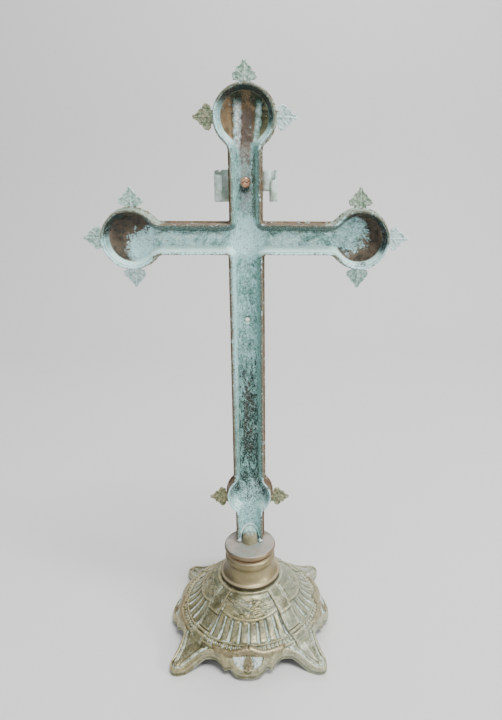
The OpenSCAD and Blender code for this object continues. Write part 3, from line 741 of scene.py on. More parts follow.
def add_leaf(shape, x, z, rim, ang, tone, seed):
    """One leaf point: domed and veined in front, flatter and crusted behind."""
    n = 168
    mid, t, d, r = leaf_radii(n)
    tooth = (0.030 * np.cos(t * 26) + 0.055 * vnoise(np.stack([d[:, 0] * 4, d[:, 1] * 4, t * 0 + seed], 1),
                                                     1.0))
    r = np.maximum(r, 0.5) * (1 + tooth * (d[:, 1] > -0.7))
    r = np.minimum(r, np.where(d[:, 1] > 0.5, (17.85 - mid[1]) / np.maximum(d[:, 1], 0.1), 99))
    rows, veins = [], []
    back = -11.15
    for s, y in ((0.02, back), (0.12, back), (0.24, back), (0.36, back), (0.48, back), (0.60, back),
                 (0.72, back), (0.82, back), (0.90, back + 0.05), (0.96, back - 0.12), (0.99, back - 0.5),
                 (1.0, back - 1.0), (1.0, back - 1.6), (0.985, back - 2.0), (0.93, back - 2.25),
                 (0.84, -13.45), (0.74, -13.2), (0.66, -13.3), (0.5, -13.75), (0.3, -14.1), (0.12, -14.35),
                 (0.02, -14.4)):
        p = mid + (r * s)[:, None] * d
        ax, up = np.abs(p[:, 0]), p[:, 1]
        ribs = np.maximum(gauss(ax, 0.6), np.maximum(gauss(ax * 0.62 - (up - 0.6) * 0.78, 0.5) * (up < 6),
                                                     gauss(ax * 0.62 - (up - 4.8) * 0.78, 0.5) * (up < 10)))
        yy = np.full(n, y)
        if y < -13:
            yy = yy - 0.35 * ribs * (s < 0.8) + 0.25
        elif s < 0.9:
            yy = yy - 0.55 + 0.5 * ribs
        rows.append(np.stack([p[:, 0], yy, p[:, 1]], axis=1))
        veins.append(np.where((y > -12) & (s < 0.88), 0.75 * (1 - ribs) * smooth(np.full(n, s), 0.9, 0.7),
                              0.0))
    g = np.stack(rows)
    ca, sa = math.cos(math.radians(ang)), math.sin(math.radians(ang))
    gx, gz = g[..., 0], g[..., 2] + rim
    out = np.stack([x + gx * ca + gz * sa, g[..., 1], z - gx * sa + gz * ca], axis=-1)
    out[..., 1] += 0.34 * vnoise(out, 2.1, seed) + 0.22 * vnoise(out, 0.9, seed + 30)
    out[..., 1] = np.maximum(out[..., 1], -14.6)
    base = shape.grid(out, wrap=True, leaf=tone, vein=np.stack(veins))
    last = (len(rows) - 1) * n
    shape.fan(base, list(range(n)), out[0].mean(0), leaf=tone)
    shape.fan(base, [last + i for i in range(n)], out[-1].mean(0), flip=True, leaf=tone)


def add_shell(shape):
    """Front panel, flange, outer walls, rim, drafted inner walls and floor, as one skin."""
    p, nrm = half_outline()
    # mirror into one open loop, foot right round to foot left
    p = np.vstack([p, (p * [-1, 1])[-2::-1]])
    nrm = np.vstack([nrm, (nrm * [-1, 1])[-2::-1]])
    zero = np.zeros(len(p))
    wob = vnoise(np.stack([p[:, 0], zero, p[:, 1]], 1), 9.0, 4)
    wob2 = vnoise(np.stack([p[:, 0], zero, p[:, 1]], 1), 3.0, 6)
    section = [(-6.4, FACE_Y, 0), (-4.4, FACE_Y, 0), (-4.0, -14.86, 0), (-3.7, -14.3, 0), (-3.5, -13.75, 0),
               (-3.1, FRONT_Y, 0), (-1.2, FRONT_Y, 0), (-0.9, -13.7, 0), (-0.5, -14.1, 0), (0.2, -14.35, 0),
               (0.9, -14.2, 0), (1.4, -13.8, 0), (1.75, -13.2, 0), (1.88, -12.4, 0), (1.82, -11.5, 0),
               (1.55, -11.0, 0), (1.1, -10.86, 0), (0.72, -10.5, 0), (0.55, -8, 0), (0.3, -4, 0),
               (0.1, -0.6, 0), (0.0, 0.3, 0), (-0.12, 0.75, 0.15), (-0.45, 0.97, 0.3), (-0.85, 0.98, 0.5),
               (-1.2, 0.75, 0.8), (-1.45, 0.2, 1), (-1.9, -0.9, 1), (-2.6, -2.8, 1), (-3.4, -5.0, 1),
               (-4.2, -7.2, 1), (-4.9, -9.0, 1), (-5.35, -10.0, 1), (-5.85, -10.6, 1), (-6.5, -10.86, 1),
               (-7.0, FLOOR_Y, 1)]
    rows, ins = [], []
    for d, y, i in section:
        amp = 0.26 if y > -3 else 0.10
        q = p + nrm * (d + (wob * amp + wob2 * 0.10) * (1 if -6 < d < 1.5 else 0.3))[:, None]
        yy = np.full(len(p), y) + (0.12 * wob2 if -1.5 < d < 0.2 and y > 0 else 0)
        q[:, 1] = np.where(p[:, 1] <= COLLAR_TOP + 1e-6, COLLAR_TOP, q[:, 1])
        rows.append(np.stack([q[:, 0], yy, q[:, 1]], axis=1))
        ins.append(np.full(len(p), float(i)))
    g = np.stack(rows)
    shape.grid(g, inside=np.stack(ins))
    hole = [(math.cos(a), math.sin(a)) for a in np.linspace(0, 2 * np.pi, 40, endpoint=False)]

    def ring(r):
        return [(r * u, HOLE_Z + r * v) for u, v in hole]

    fill(shape, [g[0][:, [0, 2]], ring(2.3)[::-1]], FACE_Y, inside=0.0)
    fill(shape, [g[-1][:, [0, 2]], ring(3.9)[::-1]], FLOOR_Y, inside=1.0)
    well = [(2.3, FACE_Y, 0), (2.05, -14.8, 0), (2.0, -12.2, 0.5), (2.2, -11.95, 1), (2.9, -11.8, 1),
            (3.4, -11.5, 1), (3.65, -11.1, 1), (3.9, FLOOR_Y, 1)]
    wg = np.stack([np.array([(x, y, z) for x, z in ring(r)]) for r, y, i in well])
    shape.grid(wg, wrap=True, inside=np.stack([np.full(40, float(i)) for r, y, i in well]))
    # the cut face of the walls on the collar
    loop = [g[i][0] for i in range(len(g))] + [g[i][-1] for i in range(len(g) - 1, -1, -1)]
    tris = tessellate_polygon([[Vector((q[0], q[1], 0)) for q in loop]])
    shape.add(loop, tris, inside=0.5)


def add_ribs(shape):
    """Two low ribs that carry the walls of the upright across the top medallion."""
    for side, x0, x1, wide in ((1, 6.4, 5.9, 4.3), (-1, -8.6, -11.3, 3.4)):
        zz = np.linspace(TOP_Z - 27, TOP_Z + 16.5, 90)
        u = np.linspace(-1, 1, 25)
        zg, ug = np.meshgrid(zz, u, indexing="ij")
        lean = smooth(zg, TOP_Z - 22, TOP_Z + 4)
        spot = np.stack([zg, ug * 3, np.full_like(zg, float(side))], axis=-1)
        ragged = 1 + 0.30 * vnoise(spot, 4.5, 8) + 0.22 * vnoise(spot, 1.8, 9)
        lower = 0.6 + 0.4 * smooth(zg, TOP_Z - 27, TOP_Z - 8)
        upper = 0.5 + 0.5 * smooth(zg, TOP_Z + 17, TOP_Z + 12)
        width = wide * ragged * lower * upper
        tall = 1.7 * smooth(zg, TOP_Z + 16.5, TOP_Z + 6) * smooth(zg, TOP_Z - 27, TOP_Z - 18)
        height = 0.35 + tall * (1 + 0.3 * vnoise(spot, 2.6, 13)) + 0.35 * vnoise(spot, 1.4, 10)
        depth = -11.3 + height * np.sqrt(np.clip(1 - ug ** 2, 0, 1))
        gg = np.stack([x0 + (x1 - x0) * lean + ug * width, depth, zg], axis=-1)
        salt = np.clip(1.0 - np.abs(ug) * 1.1 + 0.7 * vnoise(spot, 2.2, 14), 0, 1)
        salt = salt * smooth(zg, TOP_Z + 13, TOP_Z + 6) * 0.95
        b = shape.grid(gg, inside=1.0, rib=np.clip(1.2 - np.abs(ug), 0, 1) * (tall > 0.3), salt=salt)
        shape.caps(b, len(zz), len(u))
        shape.close_strip(b, len(zz), len(u))


def add_socket(shape):
    """The arched boss that holds the rod, in the foot of the cross."""
    br, bh = 7.1, 5.0
    hs = [(br, COLLAR_TOP)] + [(br, COLLAR_TOP + v) for v in np.linspace(0.5, bh, 16)]
    hs += [(br * math.cos(a), COLLAR_TOP + bh + br * math.sin(a)) for a in np.linspace(0.06, 1.5, 26)]
    u = np.linspace(0, 1, 111)
    gg = []
    for rad, z in hs:
        row = []
        for w in u:
            if w < 0.2:
                row.append((-rad, -11.2 + (w / 0.2) * 11.2, z))
            elif w > 0.8:
                row.append((rad, (1 - w) / 0.2 * 11.2 - 11.2, z))
            else:
                t = math.pi - (w - 0.2) / 0.6 * math.pi
                row.append((rad * math.cos(t), 0.79 * rad * math.sin(t), z))
        gg.append(row)
    gg = np.array(gg)
    gg[..., 1] += 0.22 * vnoise(gg, 2.5, 11) * (gg[..., 1] > -10)
    b = shape.grid(gg, inside=0.85)
    shape.caps(b, len(hs), len(u))
    shape.close_strip(b, len(hs), len(u))


def add_arch(shape):
    """A crusted ridge that arches over the socket, and its two blobs on the collar."""
    arch = np.array([(9.7, -2.6, 0.15), (9.6, -3.2, 2.0), (9.1, -4.6, 5.0), (7.4, -7.4, 9.0),
                     (4.4, -9.7, 12.2), (2.0, -10.4, 13.1), (0, -10.5, 13.3)])
    arch = resample(catmull(np.vstack([arch, (arch * [-1, 1, 1])[-2::-1]]), 8), 0.5)
    arch[:, 2] += COLLAR_TOP
    tan = tangents(arch)
    one = np.cross(tan, (0, 1, 0))
    one /= np.linalg.norm(one, axis=1)[:, None]
    two = np.cross(tan, one)
    w = np.linspace(0, 2 * np.pi, 20, endpoint=False)[None, :, None]
    thick = 0.95 + 0.32 * vnoise(arch, 2.2, 15) + 0.3 * smooth(arch[:, 2] - COLLAR_TOP, 2.2, 0.6)
    gg = arch[:, None] + thick[:, None, None] * (np.cos(w) * one[:, None] + np.sin(w) * two[:, None])
    gg[..., 2] = np.maximum(gg[..., 2], COLLAR_TOP)
    b = shape.grid(gg, wrap=True, inside=1.0, salt=1.0)
    shape.caps(b, len(arch), 20)
    for sx in (-1, 1):
        lat = np.linspace(0.08, np.pi - 0.08, 16)[:, None]
        lon = np.linspace(0, 2 * np.pi, 28, endpoint=False)[None, :]
        ball = np.stack([np.sin(lat) * np.cos(lon), np.sin(lat) * np.sin(lon), np.cos(lat) + 0 * lon],
                        axis=-1)
        size = 2.1 + 0.45 * vnoise(ball * 2 + sx * 5, 1.3, 16)
        ball = ball * size[..., None] + (sx * 10.4, -0.2, COLLAR_TOP + 1.7)
        ball[..., 2] = np.maximum(ball[..., 2], COLLAR_TOP)
        b = shape.grid(ball, wrap=True, inside=1.0, salt=1.0)
        shape.caps(b, 16, 28)


# place, rim radius, angle and tone of each leaf point; a tone runs from 0.3 white to 1.0 olive
LEAVES = (
    (0, TOP_Z, LOBE_R, 0, 0.6), (0, TOP_Z, LOBE_R, 90, 0.85), (0, TOP_Z, LOBE_R, -90, 0.3),
    (ARM_X, ARM_Z, LOBE_R, 0, 0.35), (ARM_X, ARM_Z, LOBE_R, 90, 0.4), (ARM_X, ARM_Z, LOBE_R, 180, 0.3),
    (-ARM_X, ARM_Z, LOBE_R, 0, 0.72), (-ARM_X, ARM_Z, LOBE_R, -90, 0.3), (-ARM_X, ARM_Z, LOBE_R, 180, 0.4),
    (0, LOW_Z - LEAF_DROP, LOW_R, 90, 0.95), (0, LOW_Z - LEAF_DROP, LOW_R, -90, 0.9))


def cross_casting():
    """One casting: skin, leaf points, ribs, rod socket and its crust."""
    shape = Shape()
    add_shell(shape)
    for seed, leaf in enumerate(LEAVES, 1):
        add_leaf(shape, *leaf, seed)
    add_ribs(shape)
    add_socket(shape)
    add_arch(shape)
    return shape.make("CrossCasting", VERDIGRIS, ["cross_casting"])


# ---- scroll plate and rivet ----------------------------------------------------------------
def ribbon(shape, path, z0, z1, thick, rows=24, wave=0.0, **attrs):
    """A bent strip of sheet: path is (x, y), its ends run between heights z0(s) and z1(s)."""
    path = resample(path, 0.45)
    tan = tangents(path)
    nor = np.stack([-tan[:, 1], tan[:, 0]], axis=1)
    s = np.linspace(0, 1, len(path))
    lo, hi = np.interp(s, *z0), np.interp(s, *z1)
    e = np.array([0, 0.02, 0.06, *np.linspace(0.12, 0.88, rows - 6), 0.94, 0.98, 1.0])
    shrink = np.interp(e, [0, 0.02, 0.06, 0.94, 0.98, 1.0], [0.35, 0.8, 1, 1, 0.8, 0.35])
    sides = []
    for sign in (1, -1):
        x = path[None, :, 0] + sign * nor[None, :, 0] * thick / 2 * shrink[:, None]
        y = path[None, :, 1] + sign * nor[None, :, 1] * thick / 2 * shrink[:, None]
        z = lo[None, :] + (hi - lo)[None, :] * e[:, None]
        q = np.stack([x, y, z], axis=-1)
        q[..., 1] += wave * vnoise(q, 6.0, 12)
        sides.append(q)
    loop = np.concatenate([sides[0], sides[1][:, ::-1]], axis=1)
    b = shape.grid(loop, wrap=True, **attrs)
    n = loop.shape[1]
    half = n // 2
    for row in (0, len(e) - 1):
        a0 = b + row * n
        for j in range(half - 1):
            q = a0 + j, a0 + j + 1, a0 + n - 2 - j, a0 + n - 1 - j
            shape.f.append(q if row else q[::-1])


def titulus_scroll():
    """Blank plate with a rolled end, a folded end and a thin tongue beside the roll."""
    shape = Shape()
    y0, zc, hh = -15.95, SCROLL_Z, 12.7
    # rolled end: the sheet bends round and comes back as a narrow flat flap
    turn = [(21.7 + 3.35 * math.sin(a), -13.35 - 2.6 * math.cos(a)) for a in np.linspace(0.0, 3.9, 30)]
    path = catmull([(x, y0) for x in range(-12, 21, 3)] + turn, 4)
    ribbon(shape, path, ([0, 0.8, 1], [zc - hh, zc - hh, zc - hh + 0.2]),
           ([0, 0.60, 0.68, 0.78, 0.9, 1], [zc + hh, zc + hh, zc + hh, zc + 9.6, zc + 8.8, zc + 8.2]), 1.35,
           40, 0.12)
    # the upper part is notched below, beside the folded end
    ribbon(shape, [(-12.4, y0), (-16, y0), (-19.8, y0)], ([0, 0.18, 0.3, 1],
                                                          [zc - hh, zc - hh, zc - 4, zc - 4.2]),
           ([0, 1], [zc + hh, zc + hh]), 1.35, 40, 0.12)
    ribbon(shape, catmull([(-19.4, y0), (-22, y0), (-24, -15.6), (-24.9, -14.4), (-25, -13.2)], 5),
           ([0, 1], [zc - hh, zc - hh + 0.6]), ([0, 1], [zc + hh, zc + hh - 0.3]), 1.35, 40, 0.15)
    # thin tongue outside the roll, and the stepped folds at the other end
    ribbon(shape, [(22.0, -16.0), (24.2, -15.4), (25.2, -14.2)], ([0, 1], [zc - 9, zc - 8]),
           ([0, 1], [zc + hh, zc + hh - 1]), 1.0, 20, 0.1)
    ribbon(shape, catmull([(-24.7, -13.6), (-23.6, -12.6), (-21.6, -12.5), (-20.4, -13.4), (-19.8, -15.0)],
                          6), ([0, 1], [zc - hh + 0.2, zc - hh + 1.5]), ([0, 1], [zc + 5.6, zc + 3.4]), 1.2,
           26, 0.15)
    ribbon(shape, catmull([(-20.4, -15.0), (-18.6, -13.9), (-15.9, -14.1), (-14.4, -15.0)], 6),
           ([0, 1], [zc - 3.6, zc - 3.4]), ([0, 1], [zc + hh - 0.6, zc + hh - 1.2]), 1.2, 24, 0.15)
    return shape.make("TitulusScroll", SCROLL, ["titulus_scroll"])


def titulus_rivet():
    """Low domed head in front, long hammered end behind."""
    shape = Shape()
    prof = [(0.02, -5.9), (1.2, -5.92), (2.3, -6.05), (3.2, -6.4), (3.8, -6.9), (4.15, -7.6), (4.25, -8.6),
            (4.2, -9.6), (4.1, -10.5), (3.9, -10.95), (2.4, -11.2), (2.38, -14), (2.38, -16.8), (3.9, -16.85),
            (4.0, -17.15), (3.5, -17.75), (2.4, -18.2), (1.2, -18.4), (0.02, -18.4)]
    prof = np.array(prof)
    fine = np.vstack([resample(prof[:8], 0.18), resample(prof[7:11], 0.5)[1:], prof[11:13],
                      resample(prof[12:], 0.4)[1:]])
    cols = 96
    p = np.repeat(fine[:, None, :], cols, axis=1)
    t = np.linspace(0, 2 * np.pi, cols, endpoint=False)[None, :]
    x, zz = p[..., 0] * np.cos(t), p[..., 0] * np.sin(t)
    head = smooth(p[..., 1], -9.5, -7.5)
    pts = np.stack([x, zz, p[..., 1]], axis=-1)
    # hammer marks and one crooked crease across the end
    crease = gauss(zz + 0.35 * np.sin(x * 1.7) + 0.2, 0.42) * smooth(np.abs(x), 3.9, 2.8)
    p[..., 1] += head * (0.35 * vnoise(pts, 1.7, 21) - 0.75 * crease)
    p[..., 0] *= 1 + head * 0.035 * vnoise(pts, 2.6, 22)
    dirt = np.clip(head * crease * 0.9 + smooth(p[..., 1], -9.8, -10.9) * 0.8, 0, 1)
    b = shape.lathe(p, cols, axis="y", dirt=dirt)
    shape.v[-1][:, 2] += RIVET_Z
    shape.fan(b, list(range(cols)), shape.v[0][:cols].mean(0), dirt=0.2)
    last = (len(fine) - 1) * cols
    shape.fan(b, [last + i for i in range(cols)], shape.v[0][last:last + cols].mean(0), dirt=0.0)
    return shape.make("TitulusRivet", COPPER, ["titulus_rivet"])


# ---- turned pieces -------------------------------------------------------------------------
def turned(name, corners, marks, material, node, cols=256, step=0.35, dent=0.05):
    """A closed turned ring; corners are (radius, height) with the bore side last."""
    p = np.array(corners, float)
    prof = resample(np.vstack([p, p[:1]]), step)[:-1]
    g = np.repeat(prof[:, None, :], cols, axis=1)
    t = np.linspace(0, 2 * np.pi, cols, endpoint=False)[None, :]
    pts = np.stack([g[..., 0] * np.cos(t), g[..., 0] * np.sin(t), g[..., 1]], axis=-1)
    g[..., 0] += dent * vnoise(pts, 7.0, 31) * (g[..., 0] > 12)
    vals = {k: f(pts, g) for k, f in marks.items()}
    shape = Shape()
    x, y = g[..., 0] * np.cos(t), g[..., 0] * np.sin(t)
    q = np.stack([x, y, g[..., 1]], axis=-1)
    q = np.concatenate([q, q[:1]], axis=0)
    vals = {k: np.concatenate([v, v[:1]], axis=0) for k, v in vals.items()}
    shape.grid(q, wrap=True, **vals)
    return shape.make(name, material, [node])


def collar_ring():
    """Upper collar with a rounded edge and a groove under it."""
    s, t = COLLAR_SEAT, COLLAR_TOP
    outer = catmull([(20.8, s), (21.45, s + 0.25), (21.5, s + 1.1), (21.9, s + 1.9), (23.1, s + 2.5),
                     (24.1, s + 3.1), (24.65, s + 4.1), (24.78, s + 5.0), (24.7, t - 1.9), (24.3, t - 0.95),
                     (23.6, t - 0.4), (22.6, t - 0.12), (21.5, t - 0.02)], 8)
    corners = np.vstack([outer, [(16, t - 0.02), (5.6, t - 0.02), (5.4, t - 0.2), (5.4, s)]])

    def groove(p, g):
        return smooth(g[..., 1], s + 2.9, s + 1.6) * (g[..., 0] > 19)

    def pale(p, g):
        return smooth(g[..., 1], t - 0.9, t - 0.25) * (g[..., 0] < 24.0)

    def dirt(p, g):
        return np.clip(gauss(g[..., 1] - s, 0.4) * (g[..., 0] > 20) * 0.8 + smooth(g[..., 1], t - 1, t - 0.3)
                       * 0.55 * smooth(p[..., 1], -9, -14), 0, 1)

    marks = {"groove": groove, "pale": pale, "dirt": dirt}
    return turned("CollarRing", corners, marks, COLLAR, "collar_ring")


def neck_bell():
    """Neck with a bead above a concave bell."""
    z0 = NECK_SEAT
    sweep = [(28.9 - 6.5 * math.sin(math.radians(90 * u ** 0.62)), z0 + 3.4 + 13.0 * u)
             for u in np.linspace(0, 1, 20)]
    outer = catmull([(28.4, z0 + 0.05), (28.8, z0 + 0.3), (28.9, z0 + 0.9), (28.9, z0 + 2.9)] + sweep
                    + [(22.5, z0 + 16.7), (23.0, z0 + 17.1), (23.7, z0 + 18.1), (24.1, z0 + 19.6),
                       (24.15, z0 + 21.3), (23.9, z0 + 22.9), (23.35, z0 + 24.1), (22.75, z0 + 24.8),
                       (22.3, z0 + 25.15), (22.1, z0 + 25.8), (21.9, COLLAR_SEAT)], 5)
    corners = np.vstack([outer, [(16, COLLAR_SEAT), (5.4, COLLAR_SEAT), (5.4, z0), (18, z0)]])

    def groove(p, g):
        return smooth(g[..., 1], z0 + 25.2, z0 + 25.9) * (g[..., 0] > 19)

    # painted highlight lines on the bead's lower and upper shoulders and just above the foot
    def shine(p, g):
        return np.clip((gauss(g[..., 1] - (z0 + 17.3), 0.5) * 0.8 + gauss(g[..., 1] - (z0 + 24.7), 0.4) * 0.8
                        + gauss(g[..., 1] - (z0 + 3.9), 0.5) * 0.7) * (g[..., 0] > 20), 0, 1)

    # painted shade in the crease under the bead and on the upright foot of the bell
    def dirt(p, g):
        return np.clip((gauss(g[..., 1] - (z0 + 15.9), 0.45) * 0.55 + smooth(g[..., 1], z0 + 3.3, z0 + 2.6)
                        * 0.85) * (g[..., 0] > 20), 0, 1)

    marks = {"groove": groove, "shine": shine, "dirt": dirt}
    return turned("NeckBell", corners, marks, NECK, "neck_bell", cols=288)


def tie_rod():
    """Rod with a threaded lower end and a worn rounded top."""
    low, top = 39.0, COLLAR_TOP + 11.6
    hs = np.concatenate([np.linspace(low, 60, 150), np.linspace(60.5, top - 2.6, 60)])
    hs = hs[hs < top - 5.2]
    prof = [(ROD_R, h) for h in hs] + [(0.03 + 4.97 * math.cos(v), top - 5.0 + 4.98 * math.sin(v))
                                     for v in np.linspace(0, 1.57, 16)]
    prof = np.array([(0.03, low + 0.02), (3.6, low), (4.3, low + 0.15), (4.8, low + 0.6)] + prof[5:])
    cols = 96
    g = np.repeat(prof[:, None, :], cols, axis=1)
    t = np.linspace(0, 2 * np.pi, cols, endpoint=False)[None, :]
    saw = np.abs(((g[..., 1] / 1.5 - t / (2 * np.pi)) % 1.0) - 0.5) * 2
    thread = (g[..., 1] < 57) & (g[..., 0] > 4.5)
    g[..., 0] = np.where(thread, 4.99 - 0.75 * (1 - saw) ** 0.8, g[..., 0])
    pts = np.stack([g[..., 0] * np.cos(t), g[..., 0] * np.sin(t), g[..., 1]], axis=-1)
    wear = (g[..., 1] > COLLAR_TOP) & (g[..., 0] > 1)
    g[..., 0] -= np.where(wear, 0.10 * (1 + vnoise(pts, 2.2, 41)), 0)
    shape = Shape()
    b = shape.lathe(g, cols, dirt=np.clip(gauss(g[..., 1] - COLLAR_TOP, 0.7) * 0.8, 0, 1))
    shape.fan(b, list(range(cols)), (0, 0, low + 0.02), dirt=0.0)
    last = (len(prof) - 1) * cols
    shape.fan(b, [last + i for i in range(cols)], (0, 0, top - 0.02), dirt=0.0)
    return shape.make("TieRod", ROD, ["tie_rod"])


def base_washer():
    """Flat washer with softened edges."""
    z = NECK_SEAT - 6.0
    corners = [(12.6, z + 0.02), (12.95, z + 0.35), (12.95, z + 1.6), (12.6, z + 1.98), (6.0, z + 1.98),
               (5.5, z + 1.6), (5.5, z + 0.4), (6.0, z + 0.02)]
    marks = {"dirt": lambda p, g: smooth(g[..., 0], 9.5, 9.0) * smooth(g[..., 0], 6, 7) * 0.4}
    return turned("BaseWasher", corners, marks, STEEL, "base_washer", cols=128, step=0.4,
                  dent=0.03)


def base_nut():
    """Six-sided nut, chamfered at both ends, with a threaded bore."""
    z, h, af = NECK_SEAT - 14.0, 8.0, 16.0
    cols = 144
    t = np.linspace(0, 2 * np.pi, cols, endpoint=False)
    hexr = (af / 2) / np.cos((t + np.pi / 6) % (np.pi / 3) - np.pi / 6)
    rows = []
    for zz in (0.02, 0.3, 0.7, 1.2, 1.7, 3, 5, 6.3, 6.8, 7.3, 7.7, 7.98):
        inset = min(zz, h - zz)
        cone = 8.1 + inset * 1.15
        rows.append(np.stack([np.minimum(hexr, cone), np.full(cols, z + zz)], axis=1))

    def saw(zz):
        return 4.95 - 0.55 * np.abs(((zz / 1.5 - t / (2 * np.pi)) % 1.0) - 0.5) * 2

    inner = [np.stack([saw(zz), np.full(cols, z + zz)], axis=1) for zz in np.linspace(h - 0.4, 0.4, 44)]
    rows += [np.stack([np.full(cols, 7.6), np.full(cols, z + h - 0.01)], axis=1),
             np.stack([np.full(cols, 5.4), np.full(cols, z + h - 0.01)], axis=1)] + inner
    rows += [np.stack([np.full(cols, 5.4), np.full(cols, z + 0.01)], axis=1),
             np.stack([np.full(cols, 7.6), np.full(cols, z + 0.01)], axis=1), rows[0]]
    shape = Shape()
    shape.lathe(np.stack(rows), cols, dirt=0.0)
    return shape.make("BaseNut", STEEL, ["base_nut"])


# ---- base casting --------------------------------------------------------------------------
def rim_outline(loc):
    """Radius of the base's edge by angle from a lobe: lobe, notch, cusp, hollow arch, foot."""
    pts = np.array([(0, 78.9), (3, 78.75), (6, 78.3), (8.5, 77.3), (10.6, 75.6), (12.3, 74.2), (13.4, 73.8),
                    (14.8, 74.2), (16.2, 74.9), (17.4, 74.6), (18.8, 73.5), (21, 72.3), (24.5, 71.5),
                    (27.5, 71.7), (30, 72.6), (32, 74.2), (34, 77.0), (36, 81.2), (38, 86.6), (39.4, 90.9),
                    (40.5, 94.1), (41.6, 96.5), (42.8, 98.2), (44, 99.2), (45, 99.4)])
    full = np.vstack([pts, np.stack([90 - pts[-2::-1, 0], pts[-2::-1, 1]], 1)])
    curve = catmull(np.vstack([[(-3, 78.75)], full, [(93, 78.75)]]), 12)
    return np.interp(np.abs(loc), curve[:, 0], curve[:, 1])


class Relief:
    """Height of one stretch of the base over its plain surface, and the marks its material reads."""

    def __init__(self, radius, loc):
        self.radius, self.angle = radius, loc[None, :]
        self.away = np.abs(self.angle)
        self.across = np.radians(self.angle) * radius
        self.turn = np.radians(45.0 - self.away)
        self.h = np.zeros_like(self.across)
        # cav marks pale green hollows, ridge worn ridges, dark painted shade in cuts, creases and under
        # edges, warm a browner tone
        self.cav, self.ridge, self.dark, self.warm = (np.zeros_like(self.h) for _ in range(4))

    def mark(self, **marks):
        for key, value in marks.items():
            setattr(self, key, np.maximum(getattr(self, key), value))

    def marks(self):
        return self.cav, self.ridge, self.dark, np.zeros_like(self.cav), self.warm


def dome_rows(phi, loc):
    """Grid and marks of the dome, from the seat of the neck to the fillet over the rim."""
    dome = np.array([(29.2, 57.98), (31.2, 57.95), (31.9, 57.5), (32.2, 56.6), (32.6, 55.8), (34.8, 54.1),
                     (38, 51.4), (42, 46.7), (45.5, 42.8), (48.5, 39.6), (52.5, 34.2), (56, 30.4),
                     (60, 27.2), (63.4, 25.5), (66, 24.4), (68.0, 23.2), (69.3, 21.9), (70.0, 20.4)])
    dome = resample(catmull(dome, 8), 0.46)
    tan = tangents(dome)
    nor = np.stack([-tan[:, 1], tan[:, 0]], axis=1)
    nor *= np.sign(nor[:, 1:2] + 1e-9)
    e = Relief(dome[:, :1], loc)
    e.strap_edge = 7.1 + 0.9 * smooth(e.radius, 34, 66) - e.radius * np.sin(e.turn)
    e.on_strap = smooth(e.strap_edge, -0.2, 0.25)
    e.off_strap = 1 - e.on_strap
    e.band_low = 47.4 - 3.6 * (e.away / 36.0) ** 2
    leaf_band(e)
    flutes(e)
    borders(e)
    straps(e)
    dome_bracket(e)
    sym = np.stack([e.radius * np.cos(phi)[None, :], e.radius * np.sin(phi)[None, :],
                    np.repeat(dome[:, 1:], len(phi), 1)], axis=-1)
    fade = smooth(e.radius, 31.4, 32.4)
    e.h = (e.h + 0.13 * vnoise(sym, 4.5, 51) + 0.07 * vnoise(sym, 1.8, 52)) * fade
    seat = bump(e.radius - 31.4, 0.55)
    e.mark(ridge=seat)
    e.mark(dark=gauss(e.radius - 32.6, 0.3) * 0.45)
    rad, zz = e.radius + nor[:, :1] * e.h, dome[:, 1:] + nor[:, 1:] * e.h
    grid = np.stack([rad * np.cos(phi), rad * np.sin(phi), zz], axis=-1)
    return grid, e.marks(), rad[-1], zz[-1]


def leaf_band(e):
    """A band of long leaves, bounded below by a sagging cord."""
    in_band = (smooth(e.radius, 35.8, 36.6) * smooth(e.radius, e.band_low - 0.1, e.band_low - 0.9)
               * e.off_strap)
    leafh, cutm = np.zeros_like(e.h), np.zeros_like(e.h)
    for row, (r0, lean, long) in enumerate(((37.6, 0.05, 6.0), (39.6, 0.30, 6.6), (41.8, -0.12, 7.2),
                                            (43.8, 0.22, 7.4), (45.8, 0.06, 7.0))):
        for k in range(-4, 5):
            cx = k * 9.0 + (4.5 if row % 2 else 0) + 1.3 * math.sin(k * 2.1 + row)
            slope = (lean + 0.10 * math.sin(3 * k + row)) * (-1 if cx > 0 else 1)
            du, dv = e.across - cx, (e.radius - r0) * 1.32
            ca, sa = math.cos(slope), math.sin(slope)
            p, q = du * ca + dv * sa, -du * sa + dv * ca
            q = q - 0.045 * p * p * (0.5 if row % 2 else -0.5)
            one = np.clip(1 - (p / long) ** 2 - (q / 1.55) ** 2, 0, 1) ** 0.55
            leafh = np.maximum(leafh, one * (0.9 + 0.1 * math.sin(5 * k + 2 * row)))
            cutm = np.maximum(cutm, gauss(q, 0.24) * (one > 0.35)
                              * smooth(np.abs(p), long * 0.85, long * 0.5))
    e.h += in_band * (1.25 * leafh - 0.45 * cutm - 0.25)
    e.mark(ridge=in_band * smooth(leafh, 0.55, 0.95) * (1 - cutm) * 0.8)
    e.mark(cav=in_band * smooth(leafh, 0.5, 0.1) * 0.6)
    e.mark(dark=in_band * (smooth(leafh, 0.35, 0.05) * 0.55 + 0.3 * cutm))
    cord = bump(e.radius - e.band_low - 0.45, 0.85) * e.off_strap
    e.h += 0.95 * cord
    e.mark(ridge=cord * 0.8)
    e.mark(dark=gauss(e.radius - e.band_low - 1.75, 0.45) * e.off_strap * 0.7)


